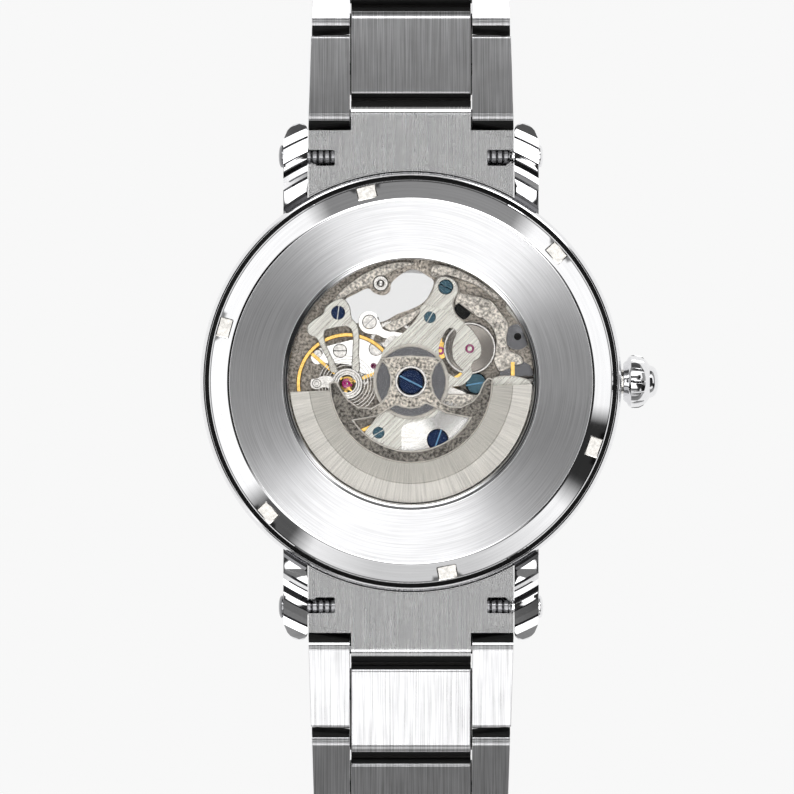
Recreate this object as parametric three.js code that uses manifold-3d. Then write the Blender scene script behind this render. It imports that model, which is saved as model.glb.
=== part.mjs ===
// Skeleton wristwatch on a three-link steel bracelet, lying dial down with its bracelet opened out.
// Millimetres. +Z points out of the case back, +X to the crown, +Y to the 6 o'clock lugs.
// The origin is the centre of the front crystal's outer face, which lies on z = 0.
import * as THREE from 'three';
import { mergeVertices } from 'three/addons/utils/BufferGeometryUtils.js';
import Module from 'manifold-3d';

const wasm = await Module();
wasm.setup();

// Case
const CASE_R = 20.5;
const BORE_R = 16.5;
const CASE_FRONT_Z = 2.3;
const SEAT_Z = 8.9;
const RIM_Z = 9.4;
const GROOVE_R = 20.0;
const ROUND = 40;

// Case back
const BACK_TOP_Z = 11.0;
const BACK_R = 19.6;
const BACK_EDGE_Z = 9.95;
const FLAT_R = 17.7;
const WINDOW_R = 11.9;
const WINDOW_RIM_R = 12.4;
const LIP_Z = 10.35;
const BACK_GLASS_R = 12.5;
const BACK_GLASS_Z = 9.5;
const NECK_IN_R = 15.3;
const NECK_OUT_R = 16.4;
const NECK_Z = 7.7;
const NOTCH_ANGLES = [41.5, 103.2, 163.9, 222.5, 280.8, 340.3];
const NOTCH_W = 1.97;
const NOTCH_R = 18.15;
const NOTCH_Z = 10.0;

// Front
const CRYSTAL_R = 17.2;
const CRYSTAL_T = 1.55;
const GAP = 0.05;

// Lugs and the bars that hold the bracelet
const LUG_IN_X = 10.05;
const LUG_OUT_X = 12.4;
const BAR_Y = 21.9;
const BAR_Z = 7.6;
const BAR_R = 0.76;
const SCREW_HEAD_R = 1.1;

// Crown
const STEM_Z = 6.0;
const STEM_R = 0.55;
const CROWN_R = 2.6;
const CROWN_X = 20.65;
const CROWN_TIP_X = 24.1;
const FLUTES = 12;

// Movement
const PLATE_Z = 3.5;
const PLATE_TOP_Z = 5.0;
const PLATE_R = 13.0;
const HOLDER_TOP_Z = 8.4;
const BALANCE = [-6.2, -0.2];
const BALANCE_R = 4.95;
const BARREL = [2.6, -5.65];
const BARREL_R = 5.6;
const THIRD = [2.8, 3.05];
const FOURTH = [-1.7, 3.6];
const ESCAPE = [-3.7, 1.5];
const PALLET = [-5.05, 0.6];
const REVERSER = [5.7, 3.24];
const PINION_R = 0.5;

// Rotor
const ROTOR_R = 11.8;
const ROTOR_BAND_R = 9.85;
const ROTOR_WEB_R = 7.95;
const ROTOR_Z = 8.55;
const ROTOR_WEB_Z = 8.85;
const ROTOR_TOP_Z = 9.2;

// Bracelet: each unit is a centre link with its two outer links, hinged on the tab of the one before
const PITCH = 9.3;
const LINK_T = 2.8;
const CENTRE_HALF_W = 5.82;
const OUTER_IN_X = 5.95;
const END_HALF_W = 9.95;
const TAPER = 0.034;
const PIVOT_Y = 25.9;
const FIXED_PIN = 4.6;
const PIN_R = 0.55;
const PIN_HOLE_R = 0.6;
const UNITS = 4;
const TILTS = [11, 17, 10.4, 0];
const END_ROUND = 0.45;

// Clasp
const CLASP_L = 33;
const CLASP_HALF_W = 8.9;
const CLASP_H = 3.9;

const STEEL = [0.74, 0.75, 0.77];
const POLISHED = [0.82, 0.83, 0.85];
const NICKEL = [0.66, 0.63, 0.58];
const GILT = [0.85, 0.62, 0.25];
const BLUE = [0.05, 0.09, 0.22];

const watch = new THREE.Group();
watch.name = 'skeleton_wristwatch';

// ---- helpers ----

function toSolid(geometry) {
  const plain = geometry.clone();
  plain.deleteAttribute('normal');
  plain.deleteAttribute('uv');
  const merged = mergeVertices(plain, 1e-5);
  const at = merged.attributes.position;
  const index = merged.index.array;
  const kept = [];
  let volume = 0;
  const a = new THREE.Vector3();
  const b = new THREE.Vector3();
  const c = new THREE.Vector3();
  for (let i = 0; i < index.length; i += 3) {
    const [p, q, r] = [index[i], index[i + 1], index[i + 2]];
    if (p === q || q === r || r === p) continue;
    kept.push(p, q, r);
    a.fromBufferAttribute(at, p);
    b.fromBufferAttribute(at, q);
    c.fromBufferAttribute(at, r);
    volume += a.dot(b.cross(c)) / 6;
  }
  if (volume < 0) kept.reverse();
  const mesh = new wasm.Mesh({
    numProp: 3,
    vertProperties: Float32Array.from(at.array),
    triVerts: Uint32Array.from(kept),
  });
  return new wasm.Manifold(mesh);
}

function turned(profile, segments = ROUND) {
  const points = profile.map(([r, z]) => new THREE.Vector2(r, z));
  const [first, last] = [points[0], points[points.length - 1]];
  const onAxis = first.x < 1e-9 && last.x < 1e-9;
  if (!onAxis) points.push(first.clone());
  const geometry = new THREE.LatheGeometry(points, segments);
  geometry.rotateX(Math.PI / 2);
  return toSolid(geometry);
}

function disc(x, y, r, z0, z1, segments = 24) {
  const geometry = new THREE.CylinderGeometry(r, r, z1 - z0, segments);
  geometry.rotateX(Math.PI / 2);
  geometry.translate(x, y, (z0 + z1) / 2);
  return toSolid(geometry);
}

function ring(x, y, rIn, rOut, z0, z1, segments = 32) {
  return disc(x, y, rOut, z0, z1, segments).subtract(disc(x, y, rIn, z0 - 1, z1 + 1, segments));
}

function box(x0, x1, y0, y1, z0, z1) {
  const geometry = new THREE.BoxGeometry(x1 - x0, y1 - y0, z1 - z0);
  geometry.translate((x0 + x1) / 2, (y0 + y1) / 2, (z0 + z1) / 2);
  return toSolid(geometry);
}

function rodX(y, z, r, x0, x1, segments = 14) {
  const geometry = new THREE.CylinderGeometry(r, r, x1 - x0, segments);
  geometry.rotateZ(Math.PI / 2);
  geometry.translate((x0 + x1) / 2, y, z);
  return toSolid(geometry);
}

function outline(points) {
  return new THREE.Shape(points.map(([x, y]) => new THREE.Vector2(x, y)));
}

function plate(shape, z0, z1, curveSegments = 8) {
  const flat = Array.isArray(shape) ? outline(shape) : shape;
  const settings = { depth: z1 - z0, bevelEnabled: false, curveSegments };
  const geometry = new THREE.ExtrudeGeometry(flat, settings);
  geometry.translate(0, 0, z0);
  return toSolid(geometry);
}

// A side profile in (y, z), drawn out along X.
function across(points, x0, x1) {
  const settings = { depth: x1 - x0, bevelEnabled: false };
  const geometry = new THREE.ExtrudeGeometry(outline(points), settings);
  geometry.rotateY(Math.PI / 2);
  geometry.rotateX(Math.PI / 2);
  geometry.translate(x0, 0, 0);
  return toSolid(geometry);
}

function bar(from, to, width, z0, z1) {
  const along = new THREE.Vector2(to[0] - from[0], to[1] - from[1]);
  const side = new THREE.Vector2(-along.y, along.x).setLength(width / 2);
  return plate([
    [from[0] + side.x, from[1] + side.y],
    [from[0] - side.x, from[1] - side.y],
    [to[0] - side.x, to[1] - side.y],
    [to[0] + side.x, to[1] + side.y],
  ], z0, z1);
}

function smooth(points, closed = true, divisions = 4) {
  const curve = new THREE.CatmullRomCurve3(
    points.map(([x, y]) => new THREE.Vector3(x, y, 0)), closed, 'centripetal');
  return curve.getPoints(points.length * divisions).slice(0, closed ? -1 : undefined)
    .map((p) => [p.x, p.y]);
}

function polar(r, degrees) {
  const t = THREE.MathUtils.degToRad(degrees);
  return [r * Math.cos(t), r * Math.sin(t)];
}

function arc(cx, cy, r, from, to, steps) {
  return Array.from({ length: steps + 1 }, (_, i) => {
    const [x, y] = polar(r, from + ((to - from) * i) / steps);
    return [cx + x, cy + y];
  });
}

function add(name, solid, colour, roughness = 0.35, metalness = 1) {
  const mesh = solid.getMesh();
  const geometry = new THREE.BufferGeometry();
  geometry.setAttribute('position', new THREE.BufferAttribute(mesh.vertProperties, 3));
  geometry.setIndex(new THREE.BufferAttribute(mesh.triVerts, 1));
  const material = new THREE.MeshStandardMaterial({ roughness, metalness });
  material.color.setRGB(...colour);
  const node = new THREE.Mesh(geometry, material);
  node.name = name;
  watch.add(node);
}

// ---- case ----

function caseMiddle() {
  let solid = turned([
    [BORE_R, CASE_FRONT_Z], [19.95, CASE_FRONT_Z], [20.3, 3.0], [CASE_R, 4.2], [CASE_R, 7.8],
    [20.35, 8.8], [20.15, RIM_Z], [GROOVE_R, RIM_Z], [GROOVE_R, SEAT_Z], [BORE_R, SEAT_Z],
  ]);
  const lugSide = [
    [14.5, 3.4], [19.5, 3.7], [22.6, 4.9], [24.5, 6.4], [25.15, 7.6], [24.95, 8.6], [24.2, 9.1],
    [18.5, 9.1], [14.5, 8.7],
  ];
  const clear = disc(0, 0, GROOVE_R, SEAT_Z, RIM_Z + 1, ROUND);
  for (const side of [-1, 1]) {
    for (const end of [-1, 1]) {
      const x = [side * LUG_IN_X, side * LUG_OUT_X].sort((p, q) => p - q);
      let lug = across(lugSide.map(([y, z]) => [end * y, z]), x[0], x[1]);
      lug = lug.subtract(clear);
      lug = lug.subtract(rodX(end * BAR_Y, BAR_Z, BAR_R + 0.04, x[0] - 1, x[1] + 1));
      solid = solid.add(lug);
    }
  }
  const tubeHole = rodX(0, STEM_Z, 1.25, BORE_R - 2, CASE_R + 2);
  const gasketGroove = ring(0, 0, 17.0, 17.75, SEAT_Z - 0.4, SEAT_Z + 1, ROUND);
  return solid.subtract(tubeHole).subtract(gasketGroove);
}

function caseBack() {
  let solid = turned([
    [NECK_IN_R, NECK_Z], [NECK_OUT_R, NECK_Z], [NECK_OUT_R, SEAT_Z + GAP],
    [BACK_R, SEAT_Z + GAP], [BACK_R, BACK_EDGE_Z], [FLAT_R, BACK_TOP_Z],
    [WINDOW_RIM_R, BACK_TOP_Z], [WINDOW_R, BACK_TOP_Z - 0.35], [WINDOW_R, LIP_Z],
    [BACK_GLASS_R + GAP, LIP_Z], [BACK_GLASS_R + GAP, BACK_GLASS_Z], [NECK_IN_R, BACK_GLASS_Z - 0.4],
  ]);
  for (const angle of NOTCH_ANGLES) {
    const cut = box(NOTCH_R, BACK_R + 1, -NOTCH_W / 2, NOTCH_W / 2, NOTCH_Z, BACK_TOP_Z + 1);
    solid = solid.subtract(cut.rotate([0, 0, angle]));
  }
  return solid;
}

add('case_middle', caseMiddle(), POLISHED, 0.15);
add('case_back', caseBack(), STEEL, 0.3);
add('bezel', turned([
  [16.05, 1.65], [CRYSTAL_R + GAP, 1.65], [CRYSTAL_R + GAP, 0.2], [17.7, 0.2], [19.3, 0.65],
  [19.95, 1.5], [19.95, CASE_FRONT_Z - GAP], [16.05, CASE_FRONT_Z - GAP],
]), POLISHED, 0.12);
add('front_crystal', turned([
  [0, 0], [CRYSTAL_R - 0.3, 0], [CRYSTAL_R, 0.3], [CRYSTAL_R, CRYSTAL_T], [0, CRYSTAL_T],
]), [0.9, 0.93, 0.95], 0.03, 0);
add('back_crystal', disc(0, 0, BACK_GLASS_R, BACK_GLASS_Z + GAP, LIP_Z - GAP, ROUND),
  [0.9, 0.93, 0.95], 0.03, 0);
add('case_back_gasket', ring(0, 0, 17.08, 17.67, SEAT_Z - 0.36, SEAT_Z + 0.01, ROUND),
  [0.06, 0.06, 0.06], 0.8, 0);

// ---- lug bars and screws ----

for (const [hour, end] of [[6, 1], [12, -1]]) {
  const y = end * BAR_Y;
  const shank = rodX(y, BAR_Z, BAR_R, -LUG_OUT_X - 0.3, 9.6);
  const head = rodX(y, BAR_Z, SCREW_HEAD_R, -LUG_OUT_X - 0.45, -LUG_OUT_X - 0.03);
  add(`lug_bar_${hour}`, shank.add(head), STEEL, 0.25);
  const screwShank = rodX(y, BAR_Z, BAR_R - 0.05, 9.65, LUG_OUT_X + 0.3);
  const screwHead = rodX(y, BAR_Z, SCREW_HEAD_R, LUG_OUT_X + 0.03, LUG_OUT_X + 0.45);
  add(`lug_screw_${hour}`, screwShank.add(screwHead), STEEL, 0.25);
}

// ---- crown, tube, stem and setting lever ----

function crown() {
  let solid = turned([
    [0, CROWN_X], [1.9, CROWN_X], [CROWN_R, 21.4], [CROWN_R, 22.3], [1.66, 23.25], [1.5, 23.6],
    [1.0, 23.95], [0, CROWN_TIP_X],
  ], 24).rotate([0, 90, 0]);
  const flute = new THREE.CylinderGeometry(0.3, 0.3, 3.2, 4);
  flute.rotateZ(Math.PI / 2);
  flute.rotateY(THREE.MathUtils.degToRad(14));
  flute.translate(22.0, 0, CROWN_R);
  const cutter = toSolid(flute);
  for (let i = 0; i < FLUTES; i += 1) {
    solid = solid.subtract(cutter.rotate([(360 * i) / FLUTES, 0, 0]));
  }
  const socket = rodX(0, 0, 1.3, CROWN_X - 1, CROWN_X + 0.5).subtract(
    rodX(0, 0, STEM_R, CROWN_X - 2, CROWN_X + 2));
  return solid.subtract(socket).subtract(rodX(0, 0, STEM_R + 0.02, CROWN_X - 1, CROWN_X + 1.5))
    .translate([0, 0, STEM_Z]);
}

add('crown', crown(), POLISHED, 0.15);
add('crown_tube', rodX(0, STEM_Z, 1.2, BORE_R + 0.2, CASE_R + 0.45).subtract(
  rodX(0, STEM_Z, 0.75, BORE_R - 1, CASE_R + 2)), STEEL, 0.3);
add('winding_stem', rodX(0, STEM_Z, STEM_R, 9.2, CROWN_X + 1.4).subtract(
  ring(0, 0, 0.38, 1, -0.26, 0.26, 20).rotate([0, 90, 0]).translate([9.9, 0, STEM_Z])), STEEL, 0.3);
add('setting_lever', box(9.72, 10.08, -1.1, 1.9, PLATE_TOP_Z + 0.1, 6.9).subtract(
  rodX(0, STEM_Z, 0.42, 9, 11)).subtract(box(9, 11, -0.42, 0.42, STEM_Z, 7.5)), STEEL, 0.4);

// ---- dial and hands ----

function dial() {
  let solid = ring(0, 0, 1.25, 16.3, 3.0, 3.35, ROUND);
  const windows = [
    arc(0, 0, 10.6, 20, 160, 12).concat(arc(0, 0, 5.2, 150, 30, 8)),
    arc(0, 0, 10.6, 200, 250, 5).concat(arc(0, 0, 5.2, 245, 205, 3)),
    arc(0, 0, 10.6, 262, 340, 7).concat(arc(0, 0, 5.2, 335, 268, 5)),
  ];
  for (const window of windows) {
    solid = solid.subtract(plate(window, 2, 4));
  }
  return solid;
}

function hand(length, tail, width, pipeIn, pipeOut, z0, z1, pipeTop, angle) {
  const blade = plate([
    [-tail, -width * 0.35], [0, -width / 2], [length * 0.8, -width / 2], [length, 0],
    [length * 0.8, width / 2], [0, width / 2], [-tail, width * 0.35],
  ], z0, z1).rotate([0, 0, angle]);
  const pipe = disc(0, 0, pipeOut, z0, pipeTop, 24);
  const whole = blade.add(pipe);
  return pipeIn > 0 ? whole.subtract(disc(0, 0, pipeIn, z0 - 1, pipeTop + 1, 24)) : whole;
}

add('dial', dial(), [0.72, 0.72, 0.73], 0.35);
add('hour_hand', hand(8.4, 1.2, 1.1, 0.55, 0.95, 2.5, 2.7, 3.42, 215), BLUE, 0.2);
add('minute_hand', hand(13.2, 1.4, 0.9, 0.24, 0.5, 2.15, 2.35, 3.42, 330), BLUE, 0.2);
add('seconds_hand', hand(14.2, 4, 0.3, 0, 0.19, 1.8, 1.95, 3.4, 260), BLUE, 0.2);

// ---- movement ----

const SEE_THROUGH = smooth([
  [-6.4, 7.3], [-3.95, 9.4], [-1.45, 10.3], [0, 10.9], [1.65, 10.3], [2.0, 9.2], [1.05, 7.5],
  [-3.0, 5.9],
], true, 3);

function mainplate() {
  let solid = turned([
    [0.62, PLATE_Z], [PLATE_R, PLATE_Z], [PLATE_R, PLATE_TOP_Z + 0.6],
    [PLATE_R - 0.7, PLATE_TOP_Z + 0.6], [PLATE_R - 0.7, PLATE_TOP_Z], [0.62, PLATE_TOP_Z],
  ], ROUND);
  solid = solid.subtract(plate(SEE_THROUGH, PLATE_Z - 1, PLATE_TOP_Z + 2));
  solid = solid.subtract(disc(5.0, 6.9, 0.85, PLATE_Z - 1, PLATE_TOP_Z + 1, 16));
  solid = solid.subtract(plate(arc(0, 0, 11.6, 185, 235, 5).concat(arc(0, 0, 7.6, 228, 194, 4)),
    PLATE_Z - 1, PLATE_TOP_Z + 2));
  solid = solid.subtract(rodX(0, STEM_Z, STEM_R + 0.1, PLATE_R - 2, PLATE_R + 1, 16));
  return solid.add(disc(-3.0, 9.5, 0.75, PLATE_TOP_Z - 1, 7.2, 20).subtract(
    plate(SEE_THROUGH, PLATE_TOP_Z - 2, PLATE_TOP_Z - 1.5)).intersect(
    disc(0, 0, PLATE_R, 0, 9, 24)));
}

// A train wheel: rim, hub and spokes, with its pinion and arbor.
function trainWheel([x, y], r, z0, z1, pinion, arbor, spokes) {
  let solid = ring(x, y, r - 0.45, r, z0, z1, 20).add(disc(x, y, 0.75, z0, z1, 10));
  for (let i = 0; i < spokes; i += 1) {
    const [dx, dy] = polar(r - 0.3, (360 * i) / spokes + 15);
    solid = solid.add(bar([x, y], [x + dx, y + dy], 0.4, z0, z1));
  }
  solid = solid.add(disc(x, y, pinion[0], pinion[1], pinion[2], 10));
  return solid.add(disc(x, y, 0.28, arbor[0], arbor[1], 6));
}

function holder() {
  const solid = turned([
    [PLATE_R + GAP, PLATE_Z + 0.05], [BORE_R - 0.1, PLATE_Z + 0.05], [BORE_R - 0.1, 7.3],
    [NECK_IN_R - 0.15, 7.3], [NECK_IN_R - 0.15, HOLDER_TOP_Z], [PLATE_R + GAP, HOLDER_TOP_Z],
  ]);
  return solid.subtract(rodX(0, STEM_Z, STEM_R + 0.2, PLATE_R - 1, BORE_R + 1, 16));
}

add('movement_holder', holder(), [0.35, 0.31, 0.27], 0.5, 0.6);
add('mainplate', mainplate(), NICKEL, 0.4);

const CENTRE_WHEEL_R = 3.6;
add('centre_wheel', trainWheel([0, 0], CENTRE_WHEEL_R, 5.15, 5.35,
  [0.55, 5.6, 6.95], [5.05, 7.6], 3), GILT, 0.3);
add('third_wheel', trainWheel(THIRD, 3.45, 7.25, 7.45, [PINION_R, 5.12, 5.4], [5.05, 7.75], 3),
  GILT, 0.3);
add('fourth_wheel', trainWheel(FOURTH, 2.35, 6.2, 6.4, [0.9, 7.2, 7.5], [5.05, 7.75], 3),
  GILT, 0.3);

function escapeWheel() {
  const [x, y] = ESCAPE;
  const teeth = 15;
  const points = [];
  for (let i = 0; i < teeth; i += 1) {
    const [rx, ry] = polar(0.9, (360 * i) / teeth);
    const [tx, ty] = polar(1.2, (360 * (i + 0.35)) / teeth);
    points.push([x + rx, y + ry], [x + tx, y + ty]);
  }
  return plate(points, 5.5, 5.7).add(disc(x, y, 0.4, 5.6, 6.5, 14))
    .add(disc(x, y, 0.2, 5.05, 6.6, 12));
}

function palletFork() {
  const [px, py] = PALLET;
  const toBalance = [BALANCE[0] - px, BALANCE[1] - py];
  const span = Math.hypot(...toBalance);
  const u = [toBalance[0] / span, toBalance[1] / span];
  const v = [-u[1], u[0]];
  const at = (a, s) => [px + u[0] * a + v[0] * s, py + u[1] * a + v[1] * s];
  let solid = disc(px, py, 0.3, 5.1, 6.3, 14);
  solid = solid.add(bar([px, py], at(0.92, 0), 0.22, 5.5, 5.7));
  solid = solid.add(bar(at(0, -1.0), at(0, 1.0), 0.28, 5.5, 5.7));
  for (const side of [-1, 1]) {
    solid = solid.add(bar(at(0.1, side * 0.98), at(-0.4, side * 0.98), 0.2, 5.5, 5.7));
    solid = solid.add(bar(at(0.8, side * 0.1), at(1.05, side * 0.2), 0.12, 5.5, 5.7));
  }
  return solid;
}

add('escape_wheel', escapeWheel(), STEEL, 0.25);
add('pallet_fork', palletFork(), STEEL, 0.2);

function balanceWheel() {
  const [x, y] = BALANCE;
  let solid = ring(x, y, BALANCE_R - 0.42, BALANCE_R, 7.12, 7.45, 28);
  for (const angle of [20, 140, 260]) {
    const [dx, dy] = polar(BALANCE_R - 0.2, angle);
    solid = solid.add(bar([x, y], [x + dx, y + dy], 0.32, 7.18, 7.38));
  }
  solid = solid.add(disc(x, y, 0.7, 7.12, 7.5, 20));
  return solid.add(disc(x, y, 0.22, 5.15, 8.0, 12));
}

function hairspring() {
  const [x, y] = BALANCE;
  const turns = 4;
  const steps = 40;
  const inner = 0.8;
  const pitch = 0.42;
  const half = 0.05;
  const outer = [];
  const back = [];
  for (let i = 0; i <= steps; i += 1) {
    const t = (turns * 360 * i) / steps + 30;
    const r = inner + (pitch * turns * i) / steps;
    const [ax, ay] = polar(r + half, t);
    const [bx, by] = polar(r - half, t);
    outer.push([x + ax, y + ay]);
    back.unshift([x + bx, y + by]);
  }
  return plate(outer.concat(back), 7.58, 7.8);
}

function balanceBridge() {
  const [x, y] = BALANCE;
  const foot = smooth([
    [-8.9, 7.4], [-6.6, 8.0], [-5.0, 6.5], [-4.4, 5.4], [-6.2, 5.2], [-8.0, 4.6], [-9.9, 4.4],
    [-10.4, 5.6],
  ], true, 3);
  let solid = plate(foot, 7.95, 8.4);
  solid = solid.add(bar([-8.9, 5.0], [-8.1, 3.0], 0.75, 7.95, 8.4));
  solid = solid.add(bar([-8.1, 3.2], [x - 0.9, y + 1.1], 0.7, 7.95, 8.4));
  solid = solid.add(bar([-5.3, 6.0], [x + 0.9, y + 1.0], 0.8, 7.95, 8.4));
  solid = solid.add(disc(x, y, 1.55, 7.95, 8.4, 28));
  solid = solid.subtract(disc(x, y, 0.27, 7, 8.2, 14));
  solid = solid.add(disc(-7.15, 6.6, 1.05, PLATE_TOP_Z + 0.02, 8.0, 20));
  return solid.subtract(disc(-7.15, 6.6, 0.45, 6.5, 9, 14));
}

function regulator() {
  const [x, y] = BALANCE;
  const collar = ring(x, y, 0.75, 1.25, 8.43, 8.5, 16);
  const arm = bar([x - 1.1, y], [-9.3, -0.1], 0.32, 8.43, 8.5);
  return collar.add(arm).add(disc(-9.3, -0.1, 0.45, 7.6, 8.5, 10));
}

add('balance_wheel', balanceWheel(), GILT, 0.2);
add('hairspring', hairspring(), [0.3, 0.3, 0.33], 0.3);
add('balance_bridge', balanceBridge(), NICKEL, 0.3);
add('regulator', regulator(), STEEL, 0.2);

function trainBridge() {
  const shape = smooth([
    [-9.6, 3.6], [-7.2, 4.1], [-4.6, 5.1], [-2.0, 5.4], [-0.55, 4.6], [-0.6, 2.6], [-2.2, 0.9],
    [-4.4, 0.1], [-6.9, 1.1], [-9.9, 1.6],
  ], true, 3);
  let solid = plate(shape, 6.65, 6.98);
  solid = solid.subtract(disc(BALANCE[0], BALANCE[1], 0.9, 6, 8, 16));
  solid = solid.subtract(disc(...FOURTH, 0.32, 6, 8, 14));
  solid = solid.add(disc(-9.1, 2.7, 0.85, PLATE_TOP_Z + 0.02, 6.8, 18));
  return solid.add(disc(-6.9, 3.1, 0.7, PLATE_TOP_Z + 0.02, 6.8, 18));
}

function barrelBridge() {
  const [x, y] = BARREL;
  const shape = arc(0, 0, 11.9, 214, 345, 12).concat([
    [8.6, -1.6], [5.6, -1.2], [0.9, -1.2], [-1.6, -4.2], [-6.6, -5.9],
  ]);
  let solid = plate(shape, 7.15, 7.5);
  solid = solid.subtract(disc(x, y, 0.85, 7, 8, 20));
  for (const [px, py] of [[-6.6, -8.0], [10.3, -4.2]]) {
    solid = solid.add(disc(px, py, 0.9, PLATE_TOP_Z + 0.02, 7.3, 18));
  }
  return solid;
}

add('train_bridge', trainBridge(), POLISHED, 0.12);
add('barrel_bridge', barrelBridge(), NICKEL, 0.4);
add('barrel', turned([
  [0.6, 5.5], [BARREL_R, 5.5], [BARREL_R, 5.9], [BARREL_R - 0.3, 5.95],
  [BARREL_R - 0.3, 6.9], [0.6, 6.9],
], 24).translate([BARREL[0], BARREL[1], 0]), STEEL, 0.35);
add('ratchet_wheel', disc(...BARREL, 3.9, 7.6, 7.85, 24)
  .add(disc(...BARREL, 0.55, 5.1, 7.8, 20)).add(disc(...BARREL, 0.75, 7.0, 7.7, 20))
  .subtract(disc(...BARREL, 0.36, 7.0, 8.5, 14)), STEEL, 0.3);
add('ratchet_screw', disc(...BARREL, 1.05, 7.87, 8.2, 24).add(disc(...BARREL, 0.34, 7.05, 8.0, 14))
  .subtract(bar([2.1, -7.02], [3.1, -4.28], 0.2, 8.08, 8.5)), BLUE, 0.2);

function automaticBridge() {
  const shape = smooth([
    [0.85, 7.4], [2.9, 7.1], [5.05, 5.85], [6.4, 4.1], [6.8, 3.15], [6.4, 2.15], [5.6, 1.55],
    [5.85, 0.57], [5.05, -0.4], [3.6, -0.9], [2.6, -2.4], [-1.0, -3.2], [-3.0, -5.9], [-4.3, -5.0],
    [-3.3, -2.2], [-3.2, 0.6], [-2.85, 2.45], [-1.0, 5.1],
  ], true, 2);
  const slot = smooth([
    [3.2, 5.4], [4.3, 5.0], [3.7, 3.6], [3.9, 2.2], [5.0, 1.4], [4.4, 0.5], [3.0, 1.6],
    [2.7, 3.4],
  ], true, 3);
  let solid = plate(shape, 7.9, 8.35);
  solid = solid.subtract(plate(slot, 7, 9));
  solid = solid.subtract(disc(...REVERSER, 0.3, 7, 9, 14));
  solid = solid.subtract(disc(0, 0, 0.4, 7, 9, 16));
  solid = solid.subtract(disc(...BARREL, 1.2, 7, 9, 20));
  solid = solid.add(disc(1.4, 6.95, 0.6, PLATE_TOP_Z + 0.02, 8.0, 14));
  return solid.add(disc(-3.3, -5.0, 0.7, 7.52, 8.0, 18));
}

function reversingWheel() {
  const [x, y] = REVERSER;
  return ring(x, y, 2.1, 2.54, 7.5, 7.85, 24).add(disc(x, y, 2.2, 7.55, 7.75, 24))
    .add(disc(x, y, 0.26, 7.5, 8.3, 14));
}

add('automatic_bridge', automaticBridge(), NICKEL, 0.35);
add('reversing_wheel', reversingWheel(), STEEL, 0.15);

// ---- rotor ----

function rotor() {
  const chord = 1.8;
  const weightShape = arc(0, 0, ROTOR_R, 183, 360, 22)
    .concat(arc(0, 0, ROTOR_BAND_R, 360, 183, 20));
  let solid = plate(weightShape, ROTOR_Z, ROTOR_TOP_Z);
  const bandShape = arc(0, 0, ROTOR_BAND_R + 0.2, 183, 360, 18)
    .concat(arc(0, 0, ROTOR_WEB_R, 360, 183, 16));
  solid = solid.add(plate(bandShape, ROTOR_WEB_Z, ROTOR_TOP_Z - 0.06));
  const crescent = arc(0, 0, ROTOR_WEB_R + 0.2, 180, 360, 16)
    .concat([[7.4, 0.25], [6.9, -0.4]], arc(0, 0, 6.8, 335, 205, 10), [[-6.9, -0.8], [-7.3, -0.2]]);
  solid = solid.add(plate(crescent, ROTOR_WEB_Z, ROTOR_TOP_Z));
  for (const side of [-1, 1]) {
    const arm = smooth([
      [side * 1.3, -1.7], [side * 2.7, -1.95], [side * 4.35, -2.5], [side * 6.0, -2.0],
      [side * 6.95, -0.9], [side * 7.3, -3.4], [side * 5.6, -3.6], [side * 3.3, -3.6],
      [side * 1.6, -2.5],
    ], true, 3);
    solid = solid.add(plate(arm, ROTOR_WEB_Z, ROTOR_TOP_Z));
  }
  const hub = smooth([
    [-3.1, 2.2], [0, 2.55], [3.1, 2.2], [2.1, 0.9], [2.0, -0.5], [2.4, -1.9], [0, -2.6],
    [-2.4, -1.9], [-2.0, -0.5], [-2.1, 0.9],
  ], true, 3);
  solid = solid.add(plate(hub, ROTOR_WEB_Z, ROTOR_TOP_Z));
  solid = solid.add(disc(0, 0, 1.5, 8.45, ROTOR_TOP_Z, 28));
  solid = solid.subtract(disc(0, 0, 0.62, 8, 10, 20));
  return solid.rotate([0, 0, chord]);
}

function rotorScrew() {
  const slotEnd = polar(1.4, -27);
  return disc(0, 0, 1.25, ROTOR_TOP_Z + 0.02, ROTOR_TOP_Z + 0.2, 28)
    .add(disc(0, 0, 0.58, 8.4, ROTOR_TOP_Z + 0.1, 18)).add(disc(0, 0, 0.35, 7.75, 8.5, 16))
    .subtract(bar([-slotEnd[0], -slotEnd[1]], slotEnd, 0.26, ROTOR_TOP_Z + 0.12, ROTOR_TOP_Z + 1));
}

add('rotor', rotor(), [0.8, 0.79, 0.75], 0.3);
add('rotor_screw', rotorScrew(), BLUE, 0.2);

// ---- bracelet ----

const HALF_T = LINK_T / 2;

// Side profile of a link from y0 to y1. A rounded nose is centred on a hinge pin.
function linkSide(y0, y1, noseAtStart, noseAtEnd) {
  const c = END_ROUND;
  const start = noseAtStart ? arc(y0 + HALF_T, 0, HALF_T, 90, 270, 8) : [
    ...arc(y0 + c, HALF_T - c, c, 90, 180, 2), ...arc(y0 + c, c - HALF_T, c, 180, 270, 2),
  ];
  const end = noseAtEnd ? arc(y1 - HALF_T, 0, HALF_T, 270, 450, 8) : [
    ...arc(y1 - c, c - HALF_T, c, 270, 360, 2), ...arc(y1 - c, HALF_T - c, c, 0, 90, 2),
  ];
  return start.concat(end);
}

function centreLink() {
  return across(linkSide(1.7, PITCH + HALF_T, false, true), -CENTRE_HALF_W, CENTRE_HALF_W)
    .subtract(rodX(FIXED_PIN, 0, PIN_HOLE_R, -9, 9, 8))
    .subtract(rodX(PITCH, 0, PIN_HOLE_R, -9, 9, 8));
}

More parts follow.
